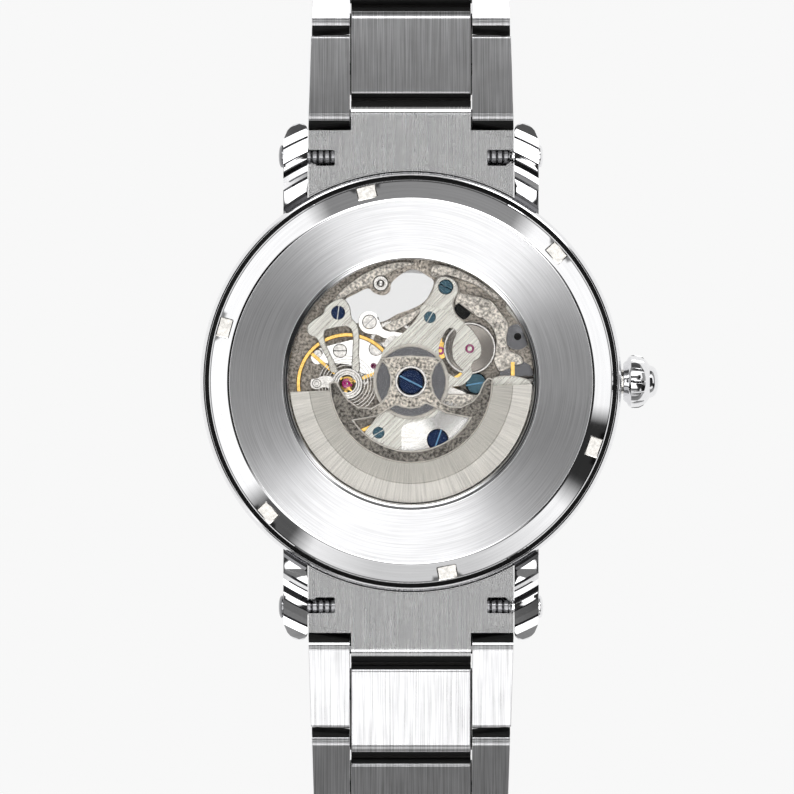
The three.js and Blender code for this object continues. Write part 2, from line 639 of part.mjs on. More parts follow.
// Both outer links of a unit, joined by the hinge pin at y = 0 and the fixed pin.
function outerLinks(index) {
  const wide = (y) => END_HALF_W - TAPER * (index * PITCH + y);
  const [from, to] = [-HALF_T, PITCH - 1.52];
  let solid = null;
  for (const side of [-1, 1]) {
    const x = [side * OUTER_IN_X, side * (END_HALF_W + 1)].sort((p, q) => p - q);
    const block = across(linkSide(from, to, true, false), x[0], x[1]);
    const plan = plate([
      [side * OUTER_IN_X, from + 0.4], [side * wide(from), from - 0.1],
      [side * wide(to), to - 0.35], [side * OUTER_IN_X, to + 0.1],
    ], -HALF_T - 1, HALF_T + 1);
    const link = block.intersect(plan);
    solid = solid ? solid.add(link) : link;
  }
  const reach = OUTER_IN_X + 0.6;
  return solid.add(rodX(0, 0, PIN_R, -reach, reach, 8))
    .add(rodX(FIXED_PIN, 0, PIN_R, -reach, reach, 8));
}

function endLink() {
  const shoulder = 24.05;
  const plan = plate([
    [-END_HALF_W, 15], [END_HALF_W, 15], [END_HALF_W, shoulder - 0.45],
    [CENTRE_HALF_W, shoulder + 0.25], [CENTRE_HALF_W, 30], [-CENTRE_HALF_W, 30],
    [-CENTRE_HALF_W, shoulder + 0.25], [-END_HALF_W, shoulder - 0.45],
  ], -3, 3);
  let solid = across(linkSide(15, PIVOT_Y + HALF_T, false, true), -END_HALF_W, END_HALF_W);
  solid = solid.intersect(plan).translate([0, 0, BAR_Z]);
  solid = solid.subtract(disc(0, 0, CASE_R + 0.06, 0, 12, 96));
  solid = solid.subtract(rodX(BAR_Y, BAR_Z, BAR_R + 0.05, -12, 12));
  for (const side of [-1, 1]) {
    const x = [side * 7.4, side * 12].sort((p, q) => p - q);
    solid = solid.subtract(box(x[0], x[1], 21.05, 22.6, BAR_Z, 12));
  }
  return solid.subtract(rodX(PIVOT_Y, BAR_Z, PIN_HOLE_R, -9, 9, 8));
}

// Where each unit's first hinge pin lies, from the end link out, and how far the unit tilts.
function chain() {
  const places = [];
  let [y, z] = [PIVOT_Y, BAR_Z];
  for (let i = 0; i < UNITS; i += 1) {
    const tilt = THREE.MathUtils.degToRad(TILTS[i]);
    places.push({ y, z, tilt: TILTS[i] });
    y += PITCH * Math.cos(tilt);
    z -= PITCH * Math.sin(tilt);
  }
  return { places, end: { y, z } };
}

const { places: PLACES, end: CHAIN_END } = chain();

for (const [hour, turn] of [[6, 0], [12, 180]]) {
  add(`end_link_${hour}`, endLink().rotate([0, 0, turn]), STEEL, 0.3);
  PLACES.forEach(({ y, z, tilt }, i) => {
    const place = (solid) => solid.rotate([-tilt, 0, 0]).translate([0, y, z]).rotate([0, 0, turn]);
    add(`centre_link_${hour}_${i + 1}`, place(centreLink()), STEEL, 0.3);
    add(`outer_links_${hour}_${i + 1}`, place(outerLinks(i)), STEEL, 0.25);
  });
}

// ---- clasp, folded, on the 12 o'clock half ----

const CLASP_Y = CHAIN_END.y;
const FOLD_Y = CLASP_Y + CLASP_L - 2.2;
const NEAR_Y = CLASP_Y + 3.6;

function claspCover() {
  const floor = CHAIN_END.z - HALF_T;
  const wall = 0.9;
  const start = CLASP_Y + 1.7;
  let solid = box(-CLASP_HALF_W, CLASP_HALF_W, start, CLASP_Y + CLASP_L, 0, CLASP_H);
  solid = solid.subtract(box(-CLASP_HALF_W + wall, CLASP_HALF_W - wall, start - 1,
    CLASP_Y + CLASP_L + 1, wall, CLASP_H + 1));
  for (const side of [-1, 1]) {
    const x = [side * OUTER_IN_X, side * CLASP_HALF_W].sort((p, q) => p - q);
    const arm = across(linkSide(CLASP_Y - HALF_T, start + 0.9, true, false), x[0], x[1]);
    solid = solid.add(arm.translate([0, 0, HALF_T]));
  }
  solid = solid.add(rodX(CLASP_Y, HALF_T, PIN_R, -OUTER_IN_X - 0.6, OUTER_IN_X + 0.6, 8));
  solid = solid.add(rodX(FOLD_Y, 1.75, 0.5, -CLASP_HALF_W + 0.4, CLASP_HALF_W - 0.4, 14));
  return solid.translate([0, 0, floor]).rotate([0, 0, 180]);
}

function claspBlade(y0, y1, z0, z1, halfWidth, openHalf) {
  const blade = box(-halfWidth, halfWidth, y0, y1, z0, z1);
  return blade.subtract(box(-openHalf, openHalf, y0 + 4, y1 - 4, z0 - 1, z1 + 1));
}

function claspLong() {
  let solid = claspBlade(NEAR_Y, FOLD_Y, 1.35, 2.15, 6.4, 3.4);
  solid = solid.add(rodX(FOLD_Y, 1.75, 0.85, -6.4, 6.4, 16));
  solid = solid.subtract(rodX(FOLD_Y, 1.75, 0.56, -9, 9, 16));
  for (const side of [-1, 1]) {
    const x = [side * 4.7, side * 6.4].sort((p, q) => p - q);
    solid = solid.add(box(x[0], x[1], NEAR_Y, NEAR_Y + 1.6, 1.35, 3.5));
  }
  solid = solid.add(rodX(NEAR_Y + 0.8, 2.85, 0.45, -5, 5, 14));
  return solid.translate([0, 0, CHAIN_END.z - HALF_T]).rotate([0, 0, 180]);
}

function claspShort() {
  let solid = claspBlade(NEAR_Y + 0.8, FOLD_Y - 4, 2.5, 3.2, 4.6, 2.4);
  solid = solid.add(rodX(NEAR_Y + 0.8, 2.85, 0.66, -4.6, 4.6, 16));
  solid = solid.subtract(rodX(NEAR_Y + 0.8, 2.85, 0.5, -6, 6, 16));
  return solid.translate([0, 0, CHAIN_END.z - HALF_T]).rotate([0, 0, 180]);
}

add('clasp_cover', claspCover(), STEEL, 0.25);
add('clasp_long_blade', claspLong(), POLISHED, 0.2);
add('clasp_short_blade', claspShort(), POLISHED, 0.2);

export default watch;
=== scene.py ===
"""Skeleton wristwatch with a glazed back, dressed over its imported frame."""

import logging
import math
from dataclasses import dataclass, field
from enum import Enum

import bpy
from mathutils import Matrix, Vector

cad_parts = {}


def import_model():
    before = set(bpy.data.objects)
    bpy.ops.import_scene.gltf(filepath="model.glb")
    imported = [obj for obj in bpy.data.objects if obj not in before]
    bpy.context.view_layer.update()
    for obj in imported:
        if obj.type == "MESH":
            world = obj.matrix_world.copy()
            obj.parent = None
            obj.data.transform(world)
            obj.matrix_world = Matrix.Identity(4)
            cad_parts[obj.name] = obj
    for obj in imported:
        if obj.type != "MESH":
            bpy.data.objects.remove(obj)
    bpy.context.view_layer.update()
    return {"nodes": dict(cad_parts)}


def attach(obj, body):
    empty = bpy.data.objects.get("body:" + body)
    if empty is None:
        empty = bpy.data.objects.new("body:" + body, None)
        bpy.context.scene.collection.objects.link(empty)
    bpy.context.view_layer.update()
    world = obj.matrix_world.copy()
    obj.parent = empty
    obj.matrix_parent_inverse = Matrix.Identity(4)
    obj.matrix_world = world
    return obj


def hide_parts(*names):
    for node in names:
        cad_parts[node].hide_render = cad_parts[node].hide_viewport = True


MM = 0.001
LOG = logging.getLogger("watch")
Point = tuple[float, float]


class Grain(Enum):
    """Which way the fine lines of a worked surface run."""

    NONE = "none"
    CIRCULAR = "circular"
    RADIAL = "radial"
    ALONG_X = "along x"
    ALONG_Y = "along y"
    DIAGONAL = "diagonal"


class Sheet:
    """A material's node sheet, with short ways to add and join nodes."""

    def __init__(self, name: str) -> None:
        """Starts an empty sheet with a Principled shader.

        Args:
            name: the material's name.
        """
        self.material = bpy.data.materials.new(name)
        self.material.use_nodes = True
        self.tree = self.material.node_tree
        self.tree.nodes.clear()
        self.shader = self.add("ShaderNodeBsdfPrincipled")
        out = self.add("ShaderNodeOutputMaterial")
        self.join(self.shader.outputs["BSDF"], out.inputs["Surface"])

    def add(self, kind: str, **settings: object) -> bpy.types.Node:
        """Adds a node.

        Args:
            kind: the node's Blender type.
            settings: properties to set on it.

        Returns:
            The new node.
        """
        node = self.tree.nodes.new(kind)
        for key, value in settings.items():
            setattr(node, key, value)
        return node

    def join(self, source: bpy.types.NodeSocket, target: bpy.types.NodeSocket) -> None:
        """Links one socket to another."""
        self.tree.links.new(source, target)

    def vector(self, operation: str, a: object, b: object) -> bpy.types.NodeSocket:
        """A vector operation on two sockets or constants.

        Args:
            operation: the VectorMath operation.
            a: first socket or constant vector.
            b: second socket or constant vector.

        Returns:
            The result socket.
        """
        node = self.add("ShaderNodeVectorMath", operation=operation)
        for socket, value in zip(node.inputs, (a, b)):
            if isinstance(value, bpy.types.NodeSocket):
                self.join(value, socket)
            else:
                socket.default_value = value
        return node.outputs["Value" if operation in ("LENGTH", "DOT_PRODUCT") else "Vector"]

    def maths(self, operation: str, a: object, b: object = 0.0) -> bpy.types.NodeSocket:
        """A scalar operation on two sockets or numbers.

        Args:
            operation: the Math operation.
            a: first socket or number.
            b: second socket or number.

        Returns:
            The result socket.
        """
        node = self.add("ShaderNodeMath", operation=operation)
        for socket, value in zip(node.inputs, (a, b)):
            if isinstance(value, bpy.types.NodeSocket):
                self.join(value, socket)
            else:
                socket.default_value = value
        return node.outputs[0]

    def noise(self, vector: bpy.types.NodeSocket, scale: float,
              detail: float = 4.0) -> bpy.types.NodeSocket:
        """Noise read at a vector.

        Args:
            vector: where it is read.
            scale: cells per unit.
            detail: octaves.

        Returns:
            The noise value, 0 to 1.
        """
        node = self.add("ShaderNodeTexNoise")
        node.inputs["Scale"].default_value = scale
        node.inputs["Detail"].default_value = detail
        self.join(vector, node.inputs["Vector"])
        return node.outputs["Fac"]

    def spread(self, value: bpy.types.NodeSocket, low: float, high: float,
               source: Point = (0.3, 0.7)) -> bpy.types.NodeSocket:
        """Maps a value to a range.

        Args:
            value: the socket to map.
            low: the lowest result.
            high: the highest result.
            source: the range that is stretched.

        Returns:
            The mapped socket.
        """
        node = self.add("ShaderNodeMapRange")
        self.join(value, node.inputs["Value"])
        node.inputs["From Min"].default_value = source[0]
        node.inputs["From Max"].default_value = source[1]
        node.inputs["To Min"].default_value = low
        node.inputs["To Max"].default_value = high
        return node.outputs["Result"]

    def tint(self, value: bpy.types.NodeSocket, dark: tuple, light: tuple) -> bpy.types.NodeSocket:
        """A two-colour ramp.

        Args:
            value: the ramp's position.
            dark: colour at 0.
            light: colour at 1.

        Returns:
            The colour socket.
        """
        node = self.add("ShaderNodeValToRGB")
        node.color_ramp.elements[0].color = (*dark, 1.0)
        node.color_ramp.elements[1].color = (*light, 1.0)
        self.join(value, node.inputs["Fac"])
        return node.outputs["Color"]


@dataclass(frozen=True)
class MetalFinish:
    """A worked metal surface: its colour, its lines and the wear on it.

    Sizes are in millimetres. centre is where circular and radial lines turn about. fade darkens
    the colour outwards: from which radius, to which radius, and by what factor.
    """

    name: str
    colour: tuple[float, float, float]
    roughness: float = 0.2
    grain: Grain = Grain.NONE
    anisotropy: float = 0.0
    lines: float = 9.0
    depth: float = 0.12
    centre: Point = (0.0, 0.0)
    variation: float = 0.08
    wear: float = 0.05
    fade: tuple[float, float, float] = (0.0, 0.0, 1.0)

    def build(self) -> bpy.types.Material:
        """Makes the material.

        Returns:
            The material.
        """
        sheet = Sheet(self.name)
        shader = sheet.shader
        shader.inputs["Metallic"].default_value = 1.0
        shader.inputs["Anisotropic"].default_value = self.anisotropy
        position = sheet.add("ShaderNodeTexCoord").outputs["Object"]
        centre = (self.centre[0] * MM, self.centre[1] * MM, 0.0)
        local = sheet.vector("SUBTRACT", position, centre)
        cloud = sheet.noise(local, 350.0, 3.0)
        strokes = self._strokes(sheet, local)
        dark = tuple(c * (1.0 - self.variation) for c in self.colour)
        light = tuple(min(1.0, c * (1.0 + self.variation * 0.5)) for c in self.colour)
        mixed = sheet.maths("MULTIPLY_ADD", strokes, 0.8)
        sheet.join(sheet.maths("MULTIPLY", cloud, 0.2), mixed.node.inputs[2])
        reach = 0.2 * (1.0 - 0.6 * self.variation)
        colour = sheet.tint(sheet.spread(mixed, 0.0, 1.0, (0.5 - reach, 0.5 + reach)), dark, light)
        if self.fade[2] != 1.0:
            radius = sheet.vector("LENGTH", sheet.vector("MULTIPLY", local, (1.0, 1.0, 0.0)), (0, 0, 0))
            share = sheet.spread(radius, 1.0, self.fade[2], (self.fade[0] * MM, self.fade[1] * MM))
            colour = sheet.vector("MULTIPLY", colour, share)
        sheet.join(colour, shader.inputs["Base Color"])
        rough = sheet.maths("MULTIPLY_ADD", mixed, self.wear * 2.0)
        rough.node.inputs[2].default_value = self.roughness - self.wear
        sheet.join(rough, shader.inputs["Roughness"])
        bump = sheet.add("ShaderNodeBump")
        bump.inputs["Strength"].default_value = min(1.0, self.depth)
        bump.inputs["Distance"].default_value = 0.01 * MM
        sheet.join(strokes, bump.inputs["Height"])
        sheet.join(bump.outputs["Normal"], shader.inputs["Normal"])
        return sheet.material

    def _strokes(self, sheet: Sheet, local: bpy.types.NodeSocket) -> bpy.types.NodeSocket:
        """Long fine lines that follow the grain, and the tangent that goes with them.

        Args:
            sheet: the node sheet.
            local: position from the finish's centre.

        Returns:
            The line value, 0 to 1.
        """
        across = self.lines / MM
        if self.grain is Grain.NONE:
            return sheet.noise(local, across * 0.5, 4.0)
        if self.grain in (Grain.CIRCULAR, Grain.RADIAL):
            flat = sheet.vector("MULTIPLY", local, (1.0, 1.0, 0.0))
            split = sheet.add("ShaderNodeSeparateXYZ")
            sheet.join(local, split.inputs[0])
            angle = sheet.maths("ARCTAN2", split.outputs["Y"], split.outputs["X"])
            radius = sheet.vector("LENGTH", flat, (0, 0, 0))
            place = sheet.add("ShaderNodeCombineXYZ")
            circular = self.grain is Grain.CIRCULAR
            sheet.join(sheet.maths("MULTIPLY", radius, across if circular else across * 0.04),
                       place.inputs["X"])
            sheet.join(sheet.maths("MULTIPLY", angle, 2.0 if circular else self.lines * 12.0),
                       place.inputs["Y"])
            sheet.join(split.outputs["Z"], place.inputs["Z"])
            if self.anisotropy:
                turned = flat if circular else sheet.vector("CROSS_PRODUCT", flat, (0.0, 0.0, 1.0))
                sheet.join(sheet.vector("NORMALIZE", turned, (0, 0, 0)), sheet.shader.inputs["Tangent"])
            return sheet.noise(place.outputs[0], 1.0, 3.0)
        axes = {
            Grain.ALONG_X: ((1, 0, 0), (0.012, 1.0, 1.0), 0.0),
            Grain.ALONG_Y: ((0, 1, 0), (1.0, 0.012, 0.04), 0.0),
            Grain.DIAGONAL: ((0.7071, 0.7071, 0), (0.012, 1.0, 1.0), -math.pi / 4),
        }
        line, squeeze, turn = axes[self.grain]
        mapping = sheet.add("ShaderNodeMapping")
        mapping.inputs["Rotation"].default_value = (0.0, 0.0, turn)
        sheet.join(local, mapping.inputs["Vector"])
        stretched = sheet.vector("MULTIPLY", mapping.outputs[0], squeeze)
        if self.anisotropy:
            normal = sheet.add("ShaderNodeNewGeometry").outputs["Normal"]
            sheet.join(sheet.vector("CROSS_PRODUCT", normal, line), sheet.shader.inputs["Tangent"])
        return sheet.noise(stretched, across, 3.0)


@dataclass(frozen=True)
class ClearFinish:
    """Sapphire or ruby: a clear or tinted polished stone."""

    name: str
    colour: tuple[float, float, float]
    alpha: float = 0.06
    roughness: float = 0.03
    glow: float = 0.0

    def build(self) -> bpy.types.Material:
        """Makes the material.

        Returns:
            The material.
        """
        sheet = Sheet(self.name)
        shader = sheet.shader
        position = sheet.add("ShaderNodeTexCoord").outputs["Object"]
        haze = sheet.noise(position, 500.0, 3.0)
        light = tuple(min(1.0, c * 1.1) for c in self.colour)
        sheet.join(sheet.tint(haze, self.colour, light), shader.inputs["Base Color"])
        sheet.join(sheet.spread(haze, self.roughness, self.roughness + 0.03), shader.inputs["Roughness"])
        shader.inputs["Alpha"].default_value = self.alpha
        shader.inputs["IOR"].default_value = 1.76
        shader.inputs["Coat Weight"].default_value = self.glow
        return sheet.material


@dataclass(frozen=True)
class DullFinish:
    """Rubber, a dull plated surface, or a flat painted shade or painted highlight."""

    name: str
    colour: tuple[float, float, float]
    roughness: float = 0.7
    metallic: float = 0.0

    def build(self) -> bpy.types.Material:
        """Makes the material.

        Returns:
            The material.
        """
        sheet = Sheet(self.name)
        shader = sheet.shader
        position = sheet.add("ShaderNodeTexCoord").outputs["Object"]
        speckle = sheet.noise(position, 1800.0, 5.0)
        dark = tuple(c * 0.75 for c in self.colour)
        sheet.join(sheet.tint(sheet.spread(speckle, 0.0, 1.0), dark, self.colour),
                   shader.inputs["Base Color"])
        shader.inputs["Metallic"].default_value = self.metallic
        rough = sheet.spread(speckle, self.roughness - 0.08, self.roughness + 0.08)
        sheet.join(rough, shader.inputs["Roughness"])
        return sheet.material



class Finishes:
    """All the watch's finishes, each made once."""

    def __init__(self) -> None:
        """Builds every finish."""
        ring = Grain.CIRCULAR
        made = [
            MetalFinish("polished_steel", (0.88, 0.88, 0.89), 0.06, depth=0.02, wear=0.02),
            MetalFinish("satin_annulus", (0.72, 0.72, 0.73), 0.33, ring, 1.0, 9.0, 0.2, variation=0.2,
                        wear=0.02),
            MetalFinish("polished_bevel", (0.88, 0.88, 0.89), 0.06, ring, 0.0, 4.0, 0.03, wear=0.02),
            MetalFinish("satin_link", (0.66, 0.66, 0.67), 0.3, Grain.ALONG_Y, 1.0, 9.0, 0.2,
                        variation=0.34, wear=0.02),
            # Painted light: the two copies of satin_link below are the same steel painted lighter; the
            # palest goes on the end links, the other on the first link at 12 o'clock.
            MetalFinish("satin_link_painted_lightest", (0.97, 0.97, 0.98), 0.27, Grain.ALONG_Y, 1.0, 9.0, 0.2,
                        variation=0.2, wear=0.02),
            MetalFinish("satin_link_painted_lighter", (0.81, 0.81, 0.82), 0.28, Grain.ALONG_Y, 1.0, 9.0, 0.2,
                        variation=0.34, wear=0.02),
            MetalFinish("shadow_steel", (0.10, 0.10, 0.105), 0.12, depth=0.03, wear=0.02),
            # Dark steel for the lug bars, and painted shade on the floors of the steel screws' slots.
            MetalFinish("dark_steel_and_slot_shade", (0.30, 0.30, 0.31), 0.2),
            MetalFinish("deep_nickel", (0.50, 0.45, 0.39), 0.34, lines=8.0, depth=1.0, variation=0.7),
            MetalFinish("nickel_bridge", (0.88, 0.83, 0.76), 0.28, Grain.DIAGONAL, 0.6, 8.0, 0.5,
                        variation=0.4),
            MetalFinish("mottled_nickel", (0.72, 0.67, 0.60), 0.3, lines=8.0, depth=1.0, variation=0.7,
                        wear=0.08),
            MetalFinish("bright_plate", (0.90, 0.89, 0.87), 0.14, lines=6.0, depth=0.1, wear=0.04),
            MetalFinish("rotor_band", (0.52, 0.50, 0.455), 0.3, Grain.RADIAL, 0.0, 6.0, 0.1,
                        variation=0.26),
            MetalFinish("rotor_weight", (0.69, 0.665, 0.615), 0.3, Grain.RADIAL, 0.0, 6.0, 0.1,
                        variation=0.26),
            MetalFinish("rotor_web", (0.62, 0.57, 0.50), 0.32, lines=8.0, depth=1.0, variation=0.8,
                        wear=0.06, fade=(3.0, 5.5, 0.36)),
            MetalFinish("blued_steel", (0.008, 0.018, 0.052), 0.16, lines=5.0, depth=0.1,
                        variation=0.3),
            MetalFinish("pale_blued_steel", (0.042, 0.085, 0.11), 0.16, lines=5.0, depth=0.1,
                        variation=0.3),
            MetalFinish("slot_steel", (0.16, 0.34, 0.52), 0.3, variation=0.2),
            MetalFinish("gilt", (0.84, 0.54, 0.16), 0.16, lines=5.0, depth=0.08, variation=0.3),
            MetalFinish("dark_wheel", (0.24, 0.22, 0.20), 0.16, Grain.CIRCULAR, 0.4, 12.0, 0.3,
                        centre=(5.7, 3.24), variation=0.3),
            MetalFinish("ratchet_sunray", (0.97, 0.92, 0.84), 0.24, Grain.RADIAL, 0.85, 12.0, 0.3,
                        centre=(2.6, -5.65), variation=0.4),
            MetalFinish("fine_steel", (0.66, 0.64, 0.61), 0.18, lines=6.0, depth=0.15,
                        variation=0.3, wear=0.04),
            MetalFinish("silvered_dial", (0.74, 0.74, 0.75), 0.35, Grain.RADIAL, 0.5, 10.0, 0.4),
            # Painted highlight: a pale dull colour on the broken edges of the movement's plates and
            # bridges, the rotor web and the rotor dish's rim, standing in for the light that their polished
            # edges catch.
            DullFinish("painted_edge_highlight", (1.0, 0.94, 0.85), 0.5, 0.0),
            DullFinish("joint_shadow", (0.008, 0.008, 0.008), 0.9),
            DullFinish("dark_ring", (0.16, 0.13, 0.11), 0.42, 0.8),
            # Painted shade: a near-black dull colour for the sheets set in the bracelet's link gaps and for
            # the floors of the main plate's blind holes.
            DullFinish("painted_hollow_shade", (0.02, 0.018, 0.016), 0.6),
            DullFinish("gasket_rubber", (0.03, 0.03, 0.03), 0.8),
            ClearFinish("sapphire", (0.04, 0.04, 0.045), 0.04),
            ClearFinish("ruby", (0.34, 0.02, 0.14), 1.0, 0.05, 0.6),
            ClearFinish("pink_ruby", (0.62, 0.01, 0.24), 1.0, 0.05, 0.6),
        ]
        self._made = {finish.name: finish.build() for finish in made}

    def __getitem__(self, name: str) -> bpy.types.Material:
        """The finish of that name."""
        return self._made[name]


class Bench:
    """The hand tools that every metal piece is shaped with."""

    @staticmethod
    def _vectors(points: list) -> list[Vector]:
        """Millimetre points as metre vectors."""
        return [Vector((p[0], p[1], p[2] if len(p) > 2 else 0.0)) * MM for p in points]

    @staticmethod
    def only(obj: bpy.types.Object) -> None:
        """Selects one object and makes it active."""
        bpy.ops.object.select_all(action="DESELECT")
        obj.select_set(True)
        bpy.context.view_layer.objects.active = obj

    def trace(self, name: str, points: list, closed: bool) -> bpy.types.Object:
        """Draws a chain of edges by extruding one vertex from point to point.

        Args:
            name: the new object's name.
            points: the points, in millimetres.
            closed: whether the chain returns to its start.

        Returns:
            The object, at the origin, left in edit mode with all selected.
        """
        at = self._vectors(points)
        bpy.ops.object.select_all(action="DESELECT")
        bpy.ops.mesh.primitive_plane_add(size=0.01 * MM, location=at[0])
        obj = bpy.context.object
        obj.name = name
        bpy.ops.object.transform_apply(location=True)
        bpy.ops.object.mode_set(mode="EDIT")
        bpy.ops.mesh.select_mode(type="VERT")
        bpy.ops.mesh.select_all(action="SELECT")
        bpy.ops.mesh.merge(type="CENTER")
        for here, there in zip(at, at[1:] + at[:1] if closed else at[1:]):
            bpy.ops.mesh.extrude_region_move(TRANSFORM_OT_translate={"value": there - here})
        bpy.ops.mesh.select_all(action="SELECT")
        if closed:
            bpy.ops.mesh.remove_doubles(threshold=0.0005 * MM)
        return obj

    def _close(self) -> None:
        """Merges doubles, turns faces outwards and leaves edit mode."""
        bpy.ops.mesh.select_all(action="SELECT")
        bpy.ops.mesh.remove_doubles(threshold=0.0005 * MM)
        bpy.ops.mesh.normals_make_consistent(inside=False)
        bpy.ops.object.mode_set(mode="OBJECT")

    def turned(self, name: str, profile: list[Point], steps: int = 128, closed: bool = True,
               centre: Point = (0.0, 0.0)) -> bpy.types.Object:
        """A piece turned on a lathe about a vertical axis.

        Args:
            name: the piece's name.
            profile: (radius, height) points.
            steps: divisions of the turn.
            closed: whether the profile closes on itself.
            centre: where the axis stands.

        Returns:
            The turned piece.
        """
        points = [(centre[0] + r, centre[1], z) for r, z in profile]
        obj = self.trace(name, points, closed)
        bpy.ops.mesh.spin(steps=steps, angle=2 * math.pi, axis=(0, 0, 1),
                          center=(centre[0] * MM, centre[1] * MM, 0.0))
        self._close()
        return obj

    def sawn(self, name: str, outline: list, low: float, high: float, bevel: float = 0.0,
             segments: int = 2) -> bpy.types.Object:
        """A plate sawn to an outline, with its edges broken.

        Args:
            name: the piece's name.
            outline: (x, y) points round the plate.
            low: height of its lower face.
            high: height of its upper face.
            bevel: width of the broken edge.
            segments: bevel segments.

        Returns:
            The plate.
        """
        obj = self.trace(name, [(x, y, low) for x, y in outline], True)
        bpy.ops.mesh.edge_face_add()
        bpy.ops.mesh.select_all(action="SELECT")
        bpy.ops.mesh.extrude_region_move(TRANSFORM_OT_translate={"value": (0, 0, (high - low) * MM)})
        self._close()
        if bevel:
            self.break_edges(obj, bevel, segments)
        return obj

    def drawn(self, name: str, side: list[Point], x0: float, x1: float, bevel: float = 0.0,
              segments: int = 3) -> bpy.types.Object:
        """A bar whose (y, z) section is drawn out along X.

        Args:
            name: the piece's name.
            side: (y, z) points of the section.
            x0: where it starts.
            x1: where it ends.
            bevel: width of the broken edge.
            segments: bevel segments.

        Returns:
            The bar.
        """
        obj = self.trace(name, [(x0, y, z) for y, z in side], True)
        bpy.ops.mesh.edge_face_add()
        bpy.ops.mesh.select_all(action="SELECT")
        bpy.ops.mesh.extrude_region_move(TRANSFORM_OT_translate={"value": ((x1 - x0) * MM, 0, 0)})
        self._close()
        if bevel:
            self.break_edges(obj, bevel, segments)
        return obj

    def rod(self, name: str, start: tuple, axis: str, length: float, radius: float,
            steps: int = 24) -> bpy.types.Object:
        """A plain round rod along X or Z.

        Args:
            name: the piece's name.
            start: centre of its first end.
            axis: "X" or "Z".
            length: its length.
            radius: its radius.
            steps: sides.

        Returns:
            The rod.
        """
        half = length / 2
        shift = Vector((half, 0, 0)) if axis == "X" else Vector((0, 0, half))
        turn = (0, math.pi / 2, 0) if axis == "X" else (0, 0, 0)
        bpy.ops.object.select_all(action="DESELECT")
        bpy.ops.mesh.primitive_cylinder_add(vertices=steps, radius=radius * MM, depth=length * MM,
                                            location=(Vector(start) + shift) * MM, rotation=turn)
        obj = bpy.context.object
        obj.name = name
        bpy.ops.object.transform_apply(location=True, rotation=True, scale=True)
        return obj

    def modify(self, obj: bpy.types.Object, kind: str, **settings: object) -> None:
        """Adds a modifier and applies it.

        Args:
            obj: the piece.
            kind: the modifier's type.
            settings: its settings.
        """
        self.only(obj)
        modifier = obj.modifiers.new(kind.title(), kind)
        for key, value in settings.items():
            setattr(modifier, key, value)
        bpy.ops.object.modifier_apply(modifier=modifier.name)

    def break_edges(self, obj: bpy.types.Object, width: float, segments: int = 2,
                    angle: float = 35.0) -> None:
        """Bevels every edge sharper than an angle.

        Args:
            obj: the piece.
            width: bevel width.
            segments: bevel segments.
            angle: least angle that is bevelled, in degrees.
        """
        self.modify(obj, "BEVEL", width=width * MM, segments=segments, limit_method="ANGLE",
                    angle_limit=math.radians(angle), use_clamp_overlap=True)

    def cut(self, obj: bpy.types.Object, *tools: bpy.types.Object) -> bpy.types.Object:
        """Cuts other shapes out of a piece and throws them away.

        Args:
            obj: the piece.
            tools: the shapes to remove.

        Returns:
            The piece.
        """
        for tool in tools:
            self.modify(obj, "BOOLEAN", operation="DIFFERENCE", object=tool, solver="EXACT")
            bpy.data.objects.remove(tool, do_unlink=True)
        return obj

    def weld(self, obj: bpy.types.Object, *others: bpy.types.Object) -> bpy.types.Object:
        """Unites other shapes with a piece.

        Args:
            obj: the piece.
            others: the shapes to add.

        Returns:
            The piece.
        """
        for other in others:
            self.modify(obj, "BOOLEAN", operation="UNION", object=other, solver="EXACT")
            bpy.data.objects.remove(other, do_unlink=True)
        return obj

    def join(self, obj: bpy.types.Object, *others: bpy.types.Object) -> bpy.types.Object:
        """Puts touching solids in one piece without cutting them.

        Args:
            obj: the piece.
            others: the solids that join it.

        Returns:
            The piece.
        """
        if others:
            self.only(obj)
            for other in others:
                other.select_set(True)
            bpy.ops.object.join()
        return obj

    def copy(self, obj: bpy.types.Object, name: str) -> bpy.types.Object:
        """A copy with its own mesh.

        Args:
            obj: the piece.
            name: the copy's name.

        Returns:
            The copy.
        """
        twin = obj.copy()
        twin.data = obj.data.copy()
        twin.name = name
        bpy.context.scene.collection.objects.link(twin)
        return twin

    def place(self, obj: bpy.types.Object, matrix: Matrix) -> bpy.types.Object:
        """Moves a piece and bakes the move into its mesh.

        Args:
            obj: the piece.
            matrix: the move, in metres.

        Returns:
            The piece.
        """
        self.only(obj)
        obj.matrix_world = matrix @ obj.matrix_world
        bpy.context.view_layer.update()
        bpy.ops.object.transform_apply(location=True, rotation=True, scale=True)
        if matrix.to_3x3().determinant() < 0:
            bpy.ops.object.mode_set(mode="EDIT")
            self._close()
        return obj

    def smooth(self, obj: bpy.types.Object, angle: float = 32.0) -> None:
        """Shades a piece smooth up to an angle, and keeps its flat faces flat."""
        self.only(obj)
        bpy.ops.object.shade_smooth_by_angle(angle=math.radians(angle))
        self.modify(obj, "WEIGHTED_NORMAL", keep_sharp=True, weight=100)


def polar(radius: float, degrees: float, centre: Point = (0.0, 0.0)) -> Point:
    """A point at a radius and an angle from a centre.

    Args:
        radius: distance from the centre.
        degrees: angle from +X, counter-clockwise.
        centre: the centre.

    Returns:
        The point.
    """
    turn = math.radians(degrees)
    return centre[0] + radius * math.cos(turn), centre[1] + radius * math.sin(turn)


def arc(radius: float, start: float, end: float, steps: int, centre: Point = (0.0, 0.0)) -> list[Point]:
    """Points along an arc.

    Args:
        radius: the arc's radius.
        start: first angle, in degrees.
        end: last angle.
        steps: number of divisions.
        centre: the arc's centre.

    Returns:
        steps + 1 points.
    """
    return [polar(radius, start + (end - start) * i / steps, centre) for i in range(steps + 1)]


